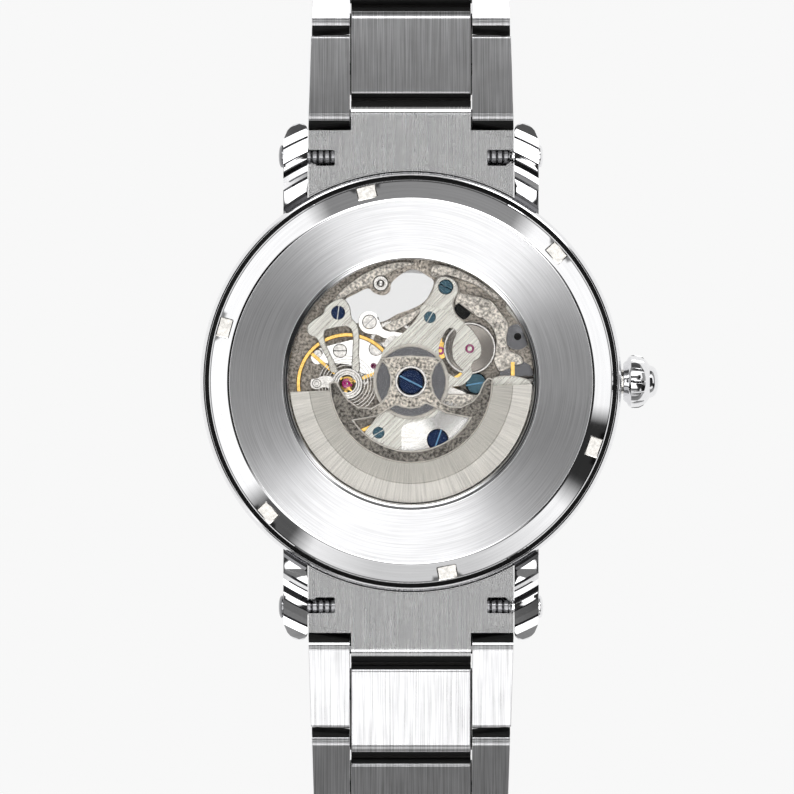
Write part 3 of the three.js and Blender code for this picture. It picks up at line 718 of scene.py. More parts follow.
def flowing(points: list[Point], steps: int = 5) -> list[Point]:
    """A closed smooth outline through points.

    Args:
        points: the points it passes through.
        steps: divisions between two points.

    Returns:
        The outline's points.
    """
    result = []
    count = len(points)
    for i in range(count):
        p0, p1, p2, p3 = (Vector(points[(i + k) % count]) for k in (-1, 0, 1, 2))
        for step in range(steps):
            t = step / steps
            value = 0.5 * ((2 * p1) + (p2 - p0) * t + (2 * p0 - 5 * p1 + 4 * p2 - p3) * t * t
                           + (3 * p1 - p0 - 3 * p2 + p3) * t ** 3)
            result.append((value.x, value.y))
    return result


def strip(start: Point, end: Point, width: float) -> list[Point]:
    """The outline of a straight strip between two points.

    Args:
        start: middle of one end.
        end: middle of the other end.
        width: its width.

    Returns:
        Four points.
    """
    along = Vector(end) - Vector(start)
    side = Vector((-along.y, along.x)).normalized() * width / 2
    a, b = Vector(start), Vector(end)
    return [tuple(a + side), tuple(a - side), tuple(b - side), tuple(b + side)]


class Maker:
    """What every sub-assembly shares: the bench, the finishes, and how a piece is handed over."""

    def __init__(self, bench: Bench, finishes: Finishes) -> None:
        """Keeps the bench and the finishes.

        Args:
            bench: the hand tools.
            finishes: the finishes.
        """
        self.bench = bench
        self.finishes = finishes

    def hand_over(self, obj: bpy.types.Object, finish: str, body: str, slot: str,
                  *stands_for: str, angle: float = 32.0) -> bpy.types.Object:
        """Finishes a piece, fixes it to its body and hides the CAD nodes that it stands for.

        Args:
            obj: the piece.
            finish: name of its finish.
            body: the CAD body it rides on.
            slot: the record's material slot; not used.
            stands_for: CAD nodes that it replaces.
            angle: smoothing angle, in degrees.

        Returns:
            The piece.
        """
        obj.data.materials.clear()
        obj.data.materials.append(self.finishes[finish])
        self.bench.smooth(obj, angle)
        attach(obj, body)
        if stands_for:
            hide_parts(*stands_for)
        LOG.info("%s: %d faces, on %s", obj.name, len(obj.data.polygons), body)
        return obj

    def rimmed(self, obj: bpy.types.Object, finish: str, rim: str, body: str, slot: str,
               *stands_for: str, angle: float = 32.0) -> bpy.types.Object:
        """Hands a plate over with its broken edges in a second finish.

        Args:
            obj: the piece.
            finish: name of the finish of its faces.
            rim: name of the finish of its sloping edges.
            body: the CAD body it rides on.
            slot: the record's material slot.
            stands_for: CAD nodes that it replaces.
            angle: smoothing angle, in degrees.

        Returns:
            The piece.
        """
        self.hand_over(obj, finish, body, slot, *stands_for, angle=angle)
        # The sloping edge faces take the rim finish, which every call sets to the pale painted edge
        # highlight.
        self.paint_where(obj, rim, lambda c, n: 0.25 < n.z < 0.97)
        return obj

    def dress(self, nodes: dict, names: list[str], finish: str) -> None:
        """Gives a finish to CAD nodes that stay as they are.

        Args:
            nodes: the frame's nodes.
            names: the nodes to dress.
            finish: name of the finish.
        """
        for name in names:
            node = nodes[name]
            node.data.materials.clear()
            node.data.materials.append(self.finishes[finish])

    def paint_where(self, obj: bpy.types.Object, finish: str, test: object) -> None:
        """Gives a second finish to the faces that pass a test.

        Args:
            obj: the piece.
            finish: name of the finish.
            test: takes a face's centre in millimetres and its normal.
        """
        obj.data.materials.append(self.finishes[finish])
        index = len(obj.data.materials) - 1
        for face in obj.data.polygons:
            if test(face.center / MM, face.normal):
                face.material_index = index


@dataclass
class CaseWork(Maker):
    """The case middle with its lugs, the bezel, the case back and both crystals."""

    bench: Bench
    finishes: Finishes
    radius: float = 20.5
    bore: float = 16.5
    lug_inner: float = 10.05
    lug_outer: float = 12.4
    bar_y: float = 21.9
    bar_z: float = 7.6
    notches: tuple[float, ...] = (41.5, 103.2, 163.9, 222.5, 280.8, 340.3)

    def build(self, nodes: dict) -> None:
        """Builds and dresses every piece of the case.

        Args:
            nodes: the frame's CAD nodes.
        """
        self._middle()
        self._back()
        self._bezel()
        self._crystals()
        self._bars()
        self.dress(nodes, ["case_back_gasket"], "gasket_rubber")
        self.dress(nodes, ["crown_tube", "winding_stem"], "fine_steel")
        self.dress(nodes, ["setting_lever"], "gilt")

    def _middle(self) -> None:
        """The case ring with four stepped lugs."""
        flank = [(self.radius - 0.45 * (1 - math.cos(math.radians(a))),
                  7.9 + 1.35 * math.sin(math.radians(a))) for a in range(0, 91, 15)]
        profile = [(self.bore, 2.3), (19.9, 2.3), (20.1, 2.5), (20.32, 3.0), (20.45, 3.7),
                   (self.radius, 4.4), *flank, (20.02, 9.3), (20.0, 9.22), (20.0, 8.95),
                   (self.bore, 8.9)]
        case = self.bench.turned("case_middle_polished", profile, 160)
        side = [(14.2, 3.5), (19.2, 3.6), (21.2, 4.1), (22.8, 4.95), (24.0, 5.9), (24.75, 6.8),
                (25.1, 7.7), (25.1, 8.3), (24.8, 8.85), (24.3, 9.15), (20.0, 9.2), (18.2, 8.85),
                (14.2, 8.6)]
        steps = [(20.3, 12.0), (20.3, 8.5), (20.75, 8.2), (21.0, 8.75), (21.1, 8.95), (22.1, 9.0),
                 (22.35, 8.6), (22.8, 8.35), (23.3, 8.4), (23.7, 8.75), (23.85, 9.15), (24.35, 9.2),
                 (24.5, 8.85), (25.2, 8.6), (25.7, 8.7), (25.9, 9.05), (26.6, 9.0), (27.3, 8.4),
                 (28.6, 6.8), (28.6, 12.0)]
        for sign in (-1, 1):
            for end in (-1, 1):
                x0, x1 = sorted((sign * self.lug_inner, sign * self.lug_outer))
                lug = self.bench.drawn("lug", [(end * y, z) for y, z in side], x0, x1)
                corner = [(sign * x, end * y) for x, y in (
                    (13, 22.9), (12.4, 22.9), (12.3, 23.7), (12.0, 24.4), (11.5, 24.95), (11.1, 25.1),
                    (10.5, 25.1), (10.15, 24.8), (10.05, 24.5), (9, 24.5), (9, 27), (13, 27))]
                self.bench.cut(lug, self.bench.sawn("corner_waste", corner, 0, 12))
                self.bench.break_edges(lug, 0.42, 4, 50)
                self.bench.cut(lug, self.bench.turned("lug_steps", steps, 160))
                self.bench.cut(lug, self.bench.rod("bar_hole", (x0 - 1, end * self.bar_y, self.bar_z),
                                                   "X", 5, 0.8))
                self.bench.weld(case, lug)
        self.bench.cut(case, self.bench.rod("tube_hole", (15, 0, 6.0), "X", 8, 1.25))
        self.hand_over(case, "polished_steel", "case", "polished_steel", "case_middle", angle=24)
        self.paint_where(case, "joint_shadow",
                         lambda c, n: n.z > 0.9 and 8.8 < c.z < 9.02 and c.xy.length < 20.1)
        self.paint_where(case, "shadow_steel",
                         lambda c, n: 0.2 < n.z < 0.87 and abs(c.y) > 15 and 20.62 < c.xy.length < 26)

    def _back(self) -> None:
        """The screwed case back: satin ring, polished bevel and six opening notches."""
        profile = [(15.3, 7.7), (16.4, 7.7), (16.4, 8.95), (19.6, 8.95), (19.6, 9.82), (19.52, 9.96),
                   (19.4, 10.06), (18.6, 10.52), (17.85, 10.93), (17.74, 10.98), (17.6, 11.0),
                   (12.5, 11.0), (12.42, 10.98), (12.36, 10.86), (12.24, 10.84), (12.2, 10.78),
                   (12.02, 10.76), (11.96, 10.68), (11.9, 10.5), (11.9, 10.35), (12.55, 10.35),
                   (12.55, 9.5), (15.3, 9.1)]
        back = self.bench.turned("case_back_worked", profile, 256)
        for angle in self.notches:
            notch = self.bench.sawn("notch", [(18.15, -0.985), (19.52, -0.985), (19.52, 0.985),
                                              (18.15, 0.985)], 9.75, 12.0, 0.12)
            self.bench.place(notch, Matrix.Rotation(math.radians(angle), 4, "Z"))
            self.bench.cut(back, notch)
        back.data.materials.clear()
        back.data.materials.append(self.finishes["polished_bevel"])
        self.paint_where(back, "satin_annulus",
                         lambda c, n: n.z > 0.99 and c.z > 10.9 and 12.45 < c.xy.length < 17.7)
        self.paint_where(back, "fine_steel", lambda c, n: n.z > 0.9 and 9.6 < c.z < 9.8)
        self.bench.smooth(back, 20)
        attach(back, "case")
        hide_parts("case_back")
        LOG.info("%s: %d faces", back.name, len(back.data.polygons))

    def _bezel(self) -> None:
        """The polished bezel round the front crystal."""
        profile = [(16.05, 1.65), (17.25, 1.65), (17.25, 0.32), (17.35, 0.22), (17.7, 0.2),
                   (18.4, 0.3), (19.1, 0.58), (19.6, 0.98), (19.88, 1.45), (19.95, 1.8),
                   (19.95, 2.25), (16.05, 2.25)]
        bezel = self.bench.turned("bezel_polished", profile, 160)
        self.hand_over(bezel, "polished_steel", "case", "polished_steel", "bezel")

    def _crystals(self) -> None:
        """Both crystals, each with a small chamfer."""
        front = self.bench.turned("front_crystal_clear", [
            (0, 0), (16.8, 0), (17.05, 0.1), (17.2, 0.3), (17.2, 1.5), (17.15, 1.55), (0, 1.55),
        ], 128, closed=False)
        self.hand_over(front, "sapphire", "case", "crystal", "front_crystal")
        back = self.bench.turned("back_crystal_clear", [
            (0, 9.55), (12.4, 9.55), (12.5, 9.65), (12.5, 10.2), (12.4, 10.3), (0, 10.3),
        ], 128, closed=False)
        self.hand_over(back, "sapphire", "case", "crystal", "back_crystal")

    def _bars(self) -> None:
        """The ringed spring bars and the domed screws at their ends."""
        for hour, end in ((6, 1), (12, -1)):
            y = end * self.bar_y
            ribs = []
            x = -12.6
            while x < 9.5:
                ribs += [(0.7, x), (0.76, x + 0.08), (0.76, x + 0.42), (0.62, x + 0.5)]
                x += 0.6
            outline = [(0.0, -12.6), *ribs, (0.62, 9.6), (0.0, 9.6)]
            bar = self._lathe_along_x(f"lug_bar_{hour}_ringed", outline, y)
            dome = self._lathe_along_x("dome", self._dome(-1), y)
            self.bench.join(bar, dome)
            self.hand_over(bar, "dark_steel_and_slot_shade", "case", "brushed_steel", f"lug_bar_{hour}")
            screw = self._lathe_along_x(f"lug_screw_{hour}_domed", self._dome(1), y)
            slot = self.bench.sawn("slot", strip((12.75, y - 2), (12.75, y + 2), 0.34), 7.46, 7.74)
            self.bench.cut(screw, slot)
            self.hand_over(screw, "polished_steel", "case", "brushed_steel", f"lug_screw_{hour}")

    @staticmethod
    def _dome(sign: int) -> list[Point]:
        """The profile of a low domed head.

        Args:
            sign: +1 for the crown side, -1 for the other.

        Returns:
            (radius, x) points from axis to axis.
        """
        x = 12.43
        return [(0.0, sign * (x - 2.6)), (0.7, sign * (x - 2.6)), (0.7, sign * x), (1.1, sign * x),
                (1.1, sign * (x + 0.12)), (1.02, sign * (x + 0.24)), (0.8, sign * (x + 0.34)),
                (0.4, sign * (x + 0.41)), (0.0, sign * (x + 0.43))]

    def _lathe_along_x(self, name: str, outline: list[Point], y: float) -> bpy.types.Object:
        """A small turned piece whose axis lies along X.

        Args:
            name: the piece's name.
            outline: (radius, x) points from axis to axis.
            y: where its axis lies.

        Returns:
            The piece.
        """
        obj = self.bench.turned(name, outline, 28, closed=False)
        lie = Matrix.Translation((0, y * MM, self.bar_z * MM)) @ Matrix.Rotation(math.pi / 2, 4, "Y")
        return self.bench.place(obj, lie)


@dataclass
class Crown(Maker):
    """The fluted onion crown."""

    bench: Bench
    finishes: Finishes
    height: float = 6.0
    base: float = 20.65
    flutes: int = 14

    def build(self) -> None:
        """Turns the crown, mills its flutes and lays it on its axis."""
        profile = [(0, 20.65), (1.75, 20.65), (1.95, 20.8), (2.1, 21.0), (2.4, 21.15), (2.58, 21.4),
                   (2.6, 21.8), (2.56, 22.2), (2.35, 22.6), (2.0, 22.95), (1.72, 23.15),
                   (1.6, 23.22), (1.56, 23.35), (1.5, 23.55), (1.32, 23.78), (1.0, 23.95),
                   (0.5, 24.07), (0, 24.1)]
        crown = self.bench.turned("crown_fluted", profile, 84, closed=False)
        for i in range(self.flutes):
            flute = self.bench.rod("flute", (0, 0, 20.4), "Z", 3.6, 0.2, 10)
            lean = Matrix.Rotation(math.radians(-13.5), 4, "Y")
            out = Matrix.Translation((2.72 * MM, 0, 0))
            down = Matrix.Translation((0, 0, -21.6 * MM))
            up = Matrix.Translation((0, 0, 21.6 * MM))
            turn = Matrix.Rotation(2 * math.pi * i / self.flutes, 4, "Z")
            self.bench.place(flute, turn @ out @ up @ lean @ down)
            self.bench.cut(crown, flute)
        self.bench.place(crown, Matrix.Translation((0, 0, self.height * MM))
                         @ Matrix.Rotation(math.pi / 2, 4, "Y"))
        self.hand_over(crown, "polished_steel", "crown", "polished_steel", "crown", angle=30)


@dataclass
class Bracelet(Maker):
    """Both halves of the bracelet, each unit a centre link and two outer links."""

    bench: Bench
    finishes: Finishes
    pitch: float = 9.3
    thick: float = 2.8
    centre_half: float = 5.82
    outer_inner: float = 5.95
    end_half: float = 9.95
    taper: float = 0.034
    pivot_y: float = 25.9
    bar_z: float = 7.6
    tilts: tuple[float, ...] = (11.0, 17.0, 10.4, 0.0)

    def build(self) -> Point:
        """Builds both halves out from the lugs.

        Returns:
            (y, z) of the last hinge axis, measured along a half.
        """
        for hour, turn in ((6, 0.0), (12, math.pi)):
            about = Matrix.Rotation(turn, 4, "Z")
            self._end_link(hour, about)
            y, z = self.pivot_y, self.bar_z
            for i, tilt in enumerate(self.tilts):
                lean = math.radians(tilt)
                place = about @ Matrix.Translation((0, y * MM, z * MM)) @ Matrix.Rotation(-lean, 4, "X")
                self._unit(hour, i, place)
                y += self.pitch * math.cos(lean)
                z -= self.pitch * math.sin(lean)
        return y, z

    def _side(self, y0: float, y1: float, nose_first: bool, nose_last: bool) -> list[Point]:
        """A link's side profile.

        Args:
            y0: where it starts.
            y1: where it ends.
            nose_first: whether its start is a half round.
            nose_last: whether its end is a half round.

        Returns:
            (y, z) points.
        """
        half, corner = self.thick / 2, 0.42
        first = arc(half, 90, 270, 16, (y0 + half, 0)) if nose_first else [
            *arc(corner, 90, 180, 5, (y0 + corner, half - corner)),
            *arc(corner, 180, 270, 5, (y0 + corner, corner - half))]
        last = arc(half, 270, 450, 16, (y1 - half, 0)) if nose_last else [
            *arc(corner, 270, 360, 5, (y1 - corner, corner - half)),
            *arc(corner, 0, 90, 5, (y1 - corner, half - corner))]
        return first + last

    def _unit(self, hour: int, index: int, place: Matrix) -> None:
        """One centre link and its two outer links with their pins.

        Args:
            hour: 6 or 12.
            index: place along the half, from 0.
            place: where the unit's hinge pin goes.
        """
        bench, body = self.bench, f"link_{hour}_{index + 1}"
        half = self.thick / 2
        centre = bench.drawn(f"centre_link_{hour}_{index + 1}_satin",
                             self._side(1.7, self.pitch + half, False, True),
                             -self.centre_half, self.centre_half)
        bench.cut(centre, bench.rod("pin_hole", (-9, self.pitch, 0), "X", 18, 0.6))
        bench.break_edges(centre, 0.14, 3, 50)
        bench.place(centre, place)
        # The first unit at 12 o'clock takes the lighter copy of the link satin: painted light on the same
        # steel.
        painted_lighter = hour == 12 and index == 0
        finish = "satin_link_painted_lighter" if painted_lighter else "satin_link"
        # Painted shade: dark sheets in the gaps between the centre link and its outer links, and a bar
        # under the centre link's near end, so that the gaps read dark.
        shade_sheets = [bench.drawn(f"link_shade_sheets_{hour}_{index + 1}", [
            (2.2, -0.9), (self.pitch + 0.7, -0.9), (self.pitch + 0.7, 0.6), (2.2, 0.6)], *sorted((
                sign * (self.centre_half - 0.02), sign * (self.outer_inner - 0.02)))) for sign in (-1, 1)]
        bridge = bench.drawn("shade_sheet_bridge", [(1.45, -1.1), (1.8, -1.1), (1.8, 0.0), (1.45, 0.0)],
                             -self.centre_half + 0.02, self.centre_half - 0.02)
        shade_sheet = bench.join(shade_sheets[0], shade_sheets[1], bridge)
        bench.place(shade_sheet, place)
        self.hand_over(shade_sheet, "painted_hollow_shade", body, "gasket")
        self.hand_over(centre, finish, body, "brushed_steel", f"centre_link_{hour}_{index + 1}")
        first, last = -half, self.pitch - 1.52
        links = []
        for sign in (-1, 1):
            x0, x1 = sorted((sign * self.outer_inner, sign * (self.end_half + 1)))
            link = bench.drawn(f"outer_links_{hour}_{index + 1}_satin",
                               self._side(first, last, True, False), x0, x1)
            wide = [self.end_half - self.taper * (index * self.pitch + y) for y in (first, last)]
            off = self.end_half + 4
            for waste in (
                [(sign * wide[0], first - 1), (sign * wide[1], last + 1), (sign * off, last + 1),
                 (sign * off, first - 1)],
                [(sign * 5, last + 0.15), (sign * off, last - 0.6), (sign * off, last + 3),
                 (sign * 5, last + 3)],
                [(sign * 5, first + 0.55), (sign * 5, first - 3), (sign * off, first - 3),
                 (sign * off, first - 0.45)],
            ):
                bench.cut(link, bench.sawn("waste", waste, -4, 4))
            bench.break_edges(link, 0.26, 4, 50)
            links.append(link)
        pins = [bench.rod("pin", (-self.outer_inner - 0.5, y, 0), "X", 2 * self.outer_inner + 1, 0.55)
                for y in (0.0, 4.6)]
        pair = bench.join(links[0], links[1], *pins)
        bench.place(pair, place)
        along = place.to_3x3() @ Vector((0, 1, 0))
        self.hand_over(pair, finish, body, "brushed_steel", f"outer_links_{hour}_{index + 1}")
        for piece in (centre, pair):
            self.paint_where(piece, "joint_shadow", lambda c, n: abs(n.dot(along)) > 0.6)

    def _end_link(self, hour: int, about: Matrix) -> None:
        """The end link that fits the case, with its slots for the spring bar.

        Args:
            hour: 6 or 12.
            about: turn about the case's axis.
        """
        bench, half = self.bench, self.thick / 2
        link = bench.drawn(f"end_link_{hour}_satin", self._side(15, self.pivot_y + half, False, True),
                           -self.end_half, self.end_half)
        bench.place(link, Matrix.Translation((0, 0, self.bar_z * MM)))
        bench.cut(link, bench.rod("case_clear", (0, 0, 0), "Z", 12, 20.56, 192))
        for sign in (-1, 1):
            bench.cut(link, bench.sawn("shoulder", [
                (sign * self.centre_half, 24.3), (sign * 12, 23.2), (sign * 12, 30),
                (sign * self.centre_half, 30)], self.bar_z + 0.1, 12))
            bench.cut(link, bench.rod("nose_socket", (sign * (3 + self.centre_half) - 3, self.pivot_y,
                                                      self.bar_z), "X", 6, half + 0.08, 48))
            bench.cut(link, bench.sawn("under_nose", [
                (sign * self.centre_half, self.pivot_y), (sign * 12, self.pivot_y), (sign * 12, 30),
                (sign * self.centre_half, 30)], 0, 12))
            bench.cut(link, bench.sawn("slot", [(sign * 7.4, 20.95), (sign * 9.3, 20.95),
                                                (sign * 9.3, 22.5), (sign * 7.4, 22.5)],
                                       6.9, 12, 0.15))
            bench.cut(link, bench.sawn("slot_mouth", [(sign * 9.1, 20.95), (sign * 12, 20.95),
                                                      (sign * 12, 22.5), (sign * 9.1, 22.5)], 7.2, 12))
        bench.cut(link, bench.rod("bar_bore", (-12, 21.9, self.bar_z), "X", 24, 0.8))
        bench.break_edges(link, 0.2, 3, 50)
        bench.place(link, about)
        # The end links take the palest copy of the link satin: painted light on the same steel.
        self.hand_over(link, "satin_link_painted_lightest", "case", "brushed_steel", f"end_link_{hour}")
        self.paint_where(link, "joint_shadow", lambda c, n: abs(n.y) > 0.6 and abs(c.y) > 23
                         or c.z < self.bar_z + 0.09 and n.z > 0.4 and abs(c.y) > 23)


@dataclass
class Clasp(Maker):
    """The folding clasp on the 12 o'clock half: a channel cover and two sprung blades."""

    bench: Bench
    finishes: Finishes
    start: float
    floor: float
    length: float = 33.0
    half: float = 8.9
    height: float = 3.9
    thick: float = 2.8
    arm_inner: float = 5.95

    @property
    def about(self) -> Matrix:
        """The half turn and drop that take the clasp's own frame to the 12 o'clock side."""
        return Matrix.Rotation(math.pi, 4, "Z") @ Matrix.Translation((0, 0, self.floor * MM))

    def build(self) -> None:
        """Builds the cover and both blades, folded shut."""
        self._cover()
        self._long_blade()
        self._short_blade()

    def _ribbon(self, name: str, middle: list[Point], thick: float, half: float) -> bpy.types.Object:
        """A strip of sheet metal bent to a side profile.

        Args:
            name: the strip's name.
            middle: (y, z) points of its middle line.
            thick: its thickness.
            half: half its width.

        Returns:
            The strip.
        """
        upper, lower = [], []
        for i, point in enumerate(middle):
            before, after = middle[max(0, i - 1)], middle[min(len(middle) - 1, i + 1)]
            along = (Vector(after) - Vector(before)).normalized() * thick / 2
            upper.append((point[0] - along.y, point[1] + along.x))
            lower.insert(0, (point[0] + along.y, point[1] - along.x))
        return self.bench.drawn(name, upper + lower, -half, half)

    def _cover(self) -> None:
        """The outer channel with its rounded long edges, arms and pins."""
        bench, y = self.bench, self.start
        first, last = y + 1.7, y + self.length
        cover = bench.sawn("clasp_cover_satin", [(-self.half, first), (self.half, first),
                                                 (self.half, last), (-self.half, last)], 0, self.height)
        bench.break_edges(cover, 0.55, 4, 60)
        bench.cut(cover, bench.sawn("channel", [
            (0.9 - self.half, first - 1), (self.half - 0.9, first - 1), (self.half - 0.9, last + 1),
            (0.9 - self.half, last + 1)], 0.9, self.height + 1))
        for x in (-7.2, 7.2):
            bench.cut(cover, bench.drawn("side_groove", [(first + 2, -0.5), (last - 2, -0.5),
                                                         (last - 2, 0.14), (first + 2, 0.14)],
                                         x - 0.12, x + 0.12))
        half = self.thick / 2
        for sign in (-1, 1):
            x0, x1 = sorted((sign * self.arm_inner, sign * self.half))
            side = arc(half, 90, 270, 12, (y, 0)) + [(first + 0.9, -half), (first + 0.9, half)]
            arm = bench.drawn("arm", [(a, b + half) for a, b in side], x0, x1)
            bench.break_edges(arm, 0.2, 3, 50)
            bench.weld(cover, arm)
        pins = [bench.rod("pin", (-self.arm_inner - 0.6, y, half), "X", 2 * self.arm_inner + 1.2, 0.55),
                bench.rod("fold_pin", (0.4 - self.half, last - 2.2, 1.75), "X", 2 * self.half - 0.8, 0.5)]
        bench.join(cover, *pins)
        bench.place(cover, self.about)
        self.hand_over(cover, "satin_link", "clasp_cover", "brushed_steel", "clasp_cover", angle=12)
        self.paint_where(cover, "polished_steel", lambda c, n: 0.3 < abs(n.x) < 0.95 and c.z < 2)

    def _long_blade(self) -> None:
        """The long blade, gently bowed, with its knuckle and two cheeks."""
        bench, near = self.bench, self.start + 3.6
        fold = self.start + self.length - 2.2
        blade = self._ribbon("clasp_long_blade_polished", [(near, 1.75), (near + 4, 1.7), (near + 14, 1.66),
                                                           (fold - 6, 1.7), (fold, 1.75)], 0.7, 6.4)
        bench.cut(blade, bench.sawn("opening", [(-3.4, near + 5), (-2.4, near + 4), (2.4, near + 4),
                                                (3.4, near + 5), (3.4, fold - 5), (2.4, fold - 4),
                                                (-2.4, fold - 4), (-3.4, fold - 5)], 0, 4))
        bench.break_edges(blade, 0.12, 2, 50)
        for sign in (-1, 1):
            x0, x1 = sorted((sign * 4.7, sign * 6.4))
            cheek = bench.drawn("cheek", [(near, 1.4), (near + 1.6, 1.4), (near + 1.6, 3.0),
                                          (near + 1.2, 3.5), (near + 0.4, 3.5), (near, 3.0)], x0, x1)
            bench.weld(blade, cheek)
        bench.weld(blade, bench.rod("knuckle", (-6.4, fold, 1.75), "X", 12.8, 0.85, 32))
        bench.cut(blade, bench.rod("knuckle_bore", (-9, fold, 1.75), "X", 18, 0.56, 24))
        bench.join(blade, bench.rod("near_pin", (-5, near + 0.8, 2.85), "X", 10, 0.45))
        bench.place(blade, self.about)
        self.hand_over(blade, "polished_steel", "clasp_long_blade", "polished_steel", "clasp_long_blade")

    def _short_blade(self) -> None:
        """The short blade that ends in the hook for the spring bar."""
        bench, near = self.bench, self.start + 4.4
        last = self.start + self.length - 6.2
        blade = self._ribbon("clasp_short_blade_polished", [
            (near, 2.85), (near + 5, 2.85), (near + 12, 2.82), (last - 3, 2.82), (last, 2.85)], 0.62, 4.6)
        bench.cut(blade, bench.sawn("opening", [(-2.4, near + 5), (-1.6, near + 4), (1.6, near + 4),
                                                (2.4, near + 5), (2.4, last - 5), (1.6, last - 4),
                                                (-1.6, last - 4), (-2.4, last - 5)], 0, 5))
        bench.break_edges(blade, 0.1, 2, 50)
        bench.weld(blade, bench.rod("eye", (-4.6, near, 2.85), "X", 9.2, 0.66, 32))
        bench.cut(blade, bench.rod("eye_bore", (-6, near, 2.85), "X", 12, 0.5, 24))
        bench.place(blade, self.about)
        self.hand_over(blade, "polished_steel", "clasp_short_blade", "polished_steel",
                       "clasp_short_blade")


def toothed(inner: float, outer: float, teeth: int, centre: Point) -> list[Point]:
    """The outline of a toothed wheel.

    Args:
        inner: radius at the roots.
        outer: radius at the tips.
        teeth: number of teeth.
        centre: the wheel's centre.

    Returns:
        The outline's points.
    """
    points = []
    for i in range(teeth):
        for share, radius in ((0.0, inner), (0.3, inner), (0.45, outer), (0.8, outer)):
            points.append(polar(radius, 360 * (i + share) / teeth, centre))
    return points


@dataclass
class SmallParts(Maker):
    """Screws and jewels, which the movement uses over and over."""

    bench: Bench
    finishes: Finishes

    def screw(self, name: str, at: Point, radius: float, top: float, angle: float, finish: str,
              body: str, slot: str, *stands_for: str, neck: float = 0.6) -> bpy.types.Object:
        """A slotted screw with a chamfered head.

        Args:
            name: the screw's name.
            at: its centre.
            radius: its head's radius.
            top: height of the head's face.
            angle: direction of its slot, in degrees.
            finish: finish of the head.
            body: the CAD body it rides on.
            slot: the record's material slot; not used.
            stands_for: CAD nodes that it replaces.
            neck: how deep the piece goes.

        Returns:
            The screw.
        """
        edge = 0.12 * radius
        head = self.bench.turned(name, [
            (0, top - neck), (0.5 * radius, top - neck), (0.5 * radius, top - 0.25),
            (radius, top - 0.25), (radius, top - edge), (radius - edge, top), (0, top),
        ], 40, closed=False, centre=at)
        dx, dy = polar(radius * 1.2, angle)
        width = 0.12 * radius
        groove = self.bench.sawn("groove", strip((at[0] - dx, at[1] - dy), (at[0] + dx, at[1] + dy),
                                                 width), top - 0.1, top + 1)
        self.bench.cut(head, groove)
        head.data.materials.append(self.finishes[finish])
        # A steel screw's slot floor is painted darker, as painted shade in the groove; a blued screw's slot
        # floor takes a lighter blue.
        self.paint_where(head, "slot_steel" if "blued" in finish else "dark_steel_and_slot_shade",
                         lambda c, n: n.z > 0.9 and top - 0.13 < c.z < top - 0.07)
        self.bench.smooth(head, 25)
        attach(head, body)
        if stands_for:
            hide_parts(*stands_for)
        return head

    def jewel(self, name: str, at: Point, radius: float, top: float, finish: str = "ruby") -> None:
        """A bearing jewel with its oil sink, and a pivot end in it.

        Args:
            name: the jewel's name.
            at: its centre.
            radius: its radius.
            top: height of its face.
            finish: the stone's finish.
        """
        stone = self.bench.turned(name, [
            (0.1 * radius, top - 0.2), (radius, top - 0.2), (radius, top - 0.03),
            (0.9 * radius, top), (0.62 * radius, top), (0.4 * radius, top - 0.06),
            (0.22 * radius, top - 0.12), (0.1 * radius, top - 0.13),
        ], 32, centre=at)
        self.hand_over(stone, finish, "case", "steel")
        pivot = self.bench.turned(f"{name}_pivot", [
            (0, top - 0.3), (0.2 * radius, top - 0.3), (0.2 * radius, top - 0.1),
            (0.12 * radius, top - 0.06), (0, top - 0.05),
        ], 16, closed=False, centre=at)
        self.hand_over(pivot, "fine_steel", "case", "steel")


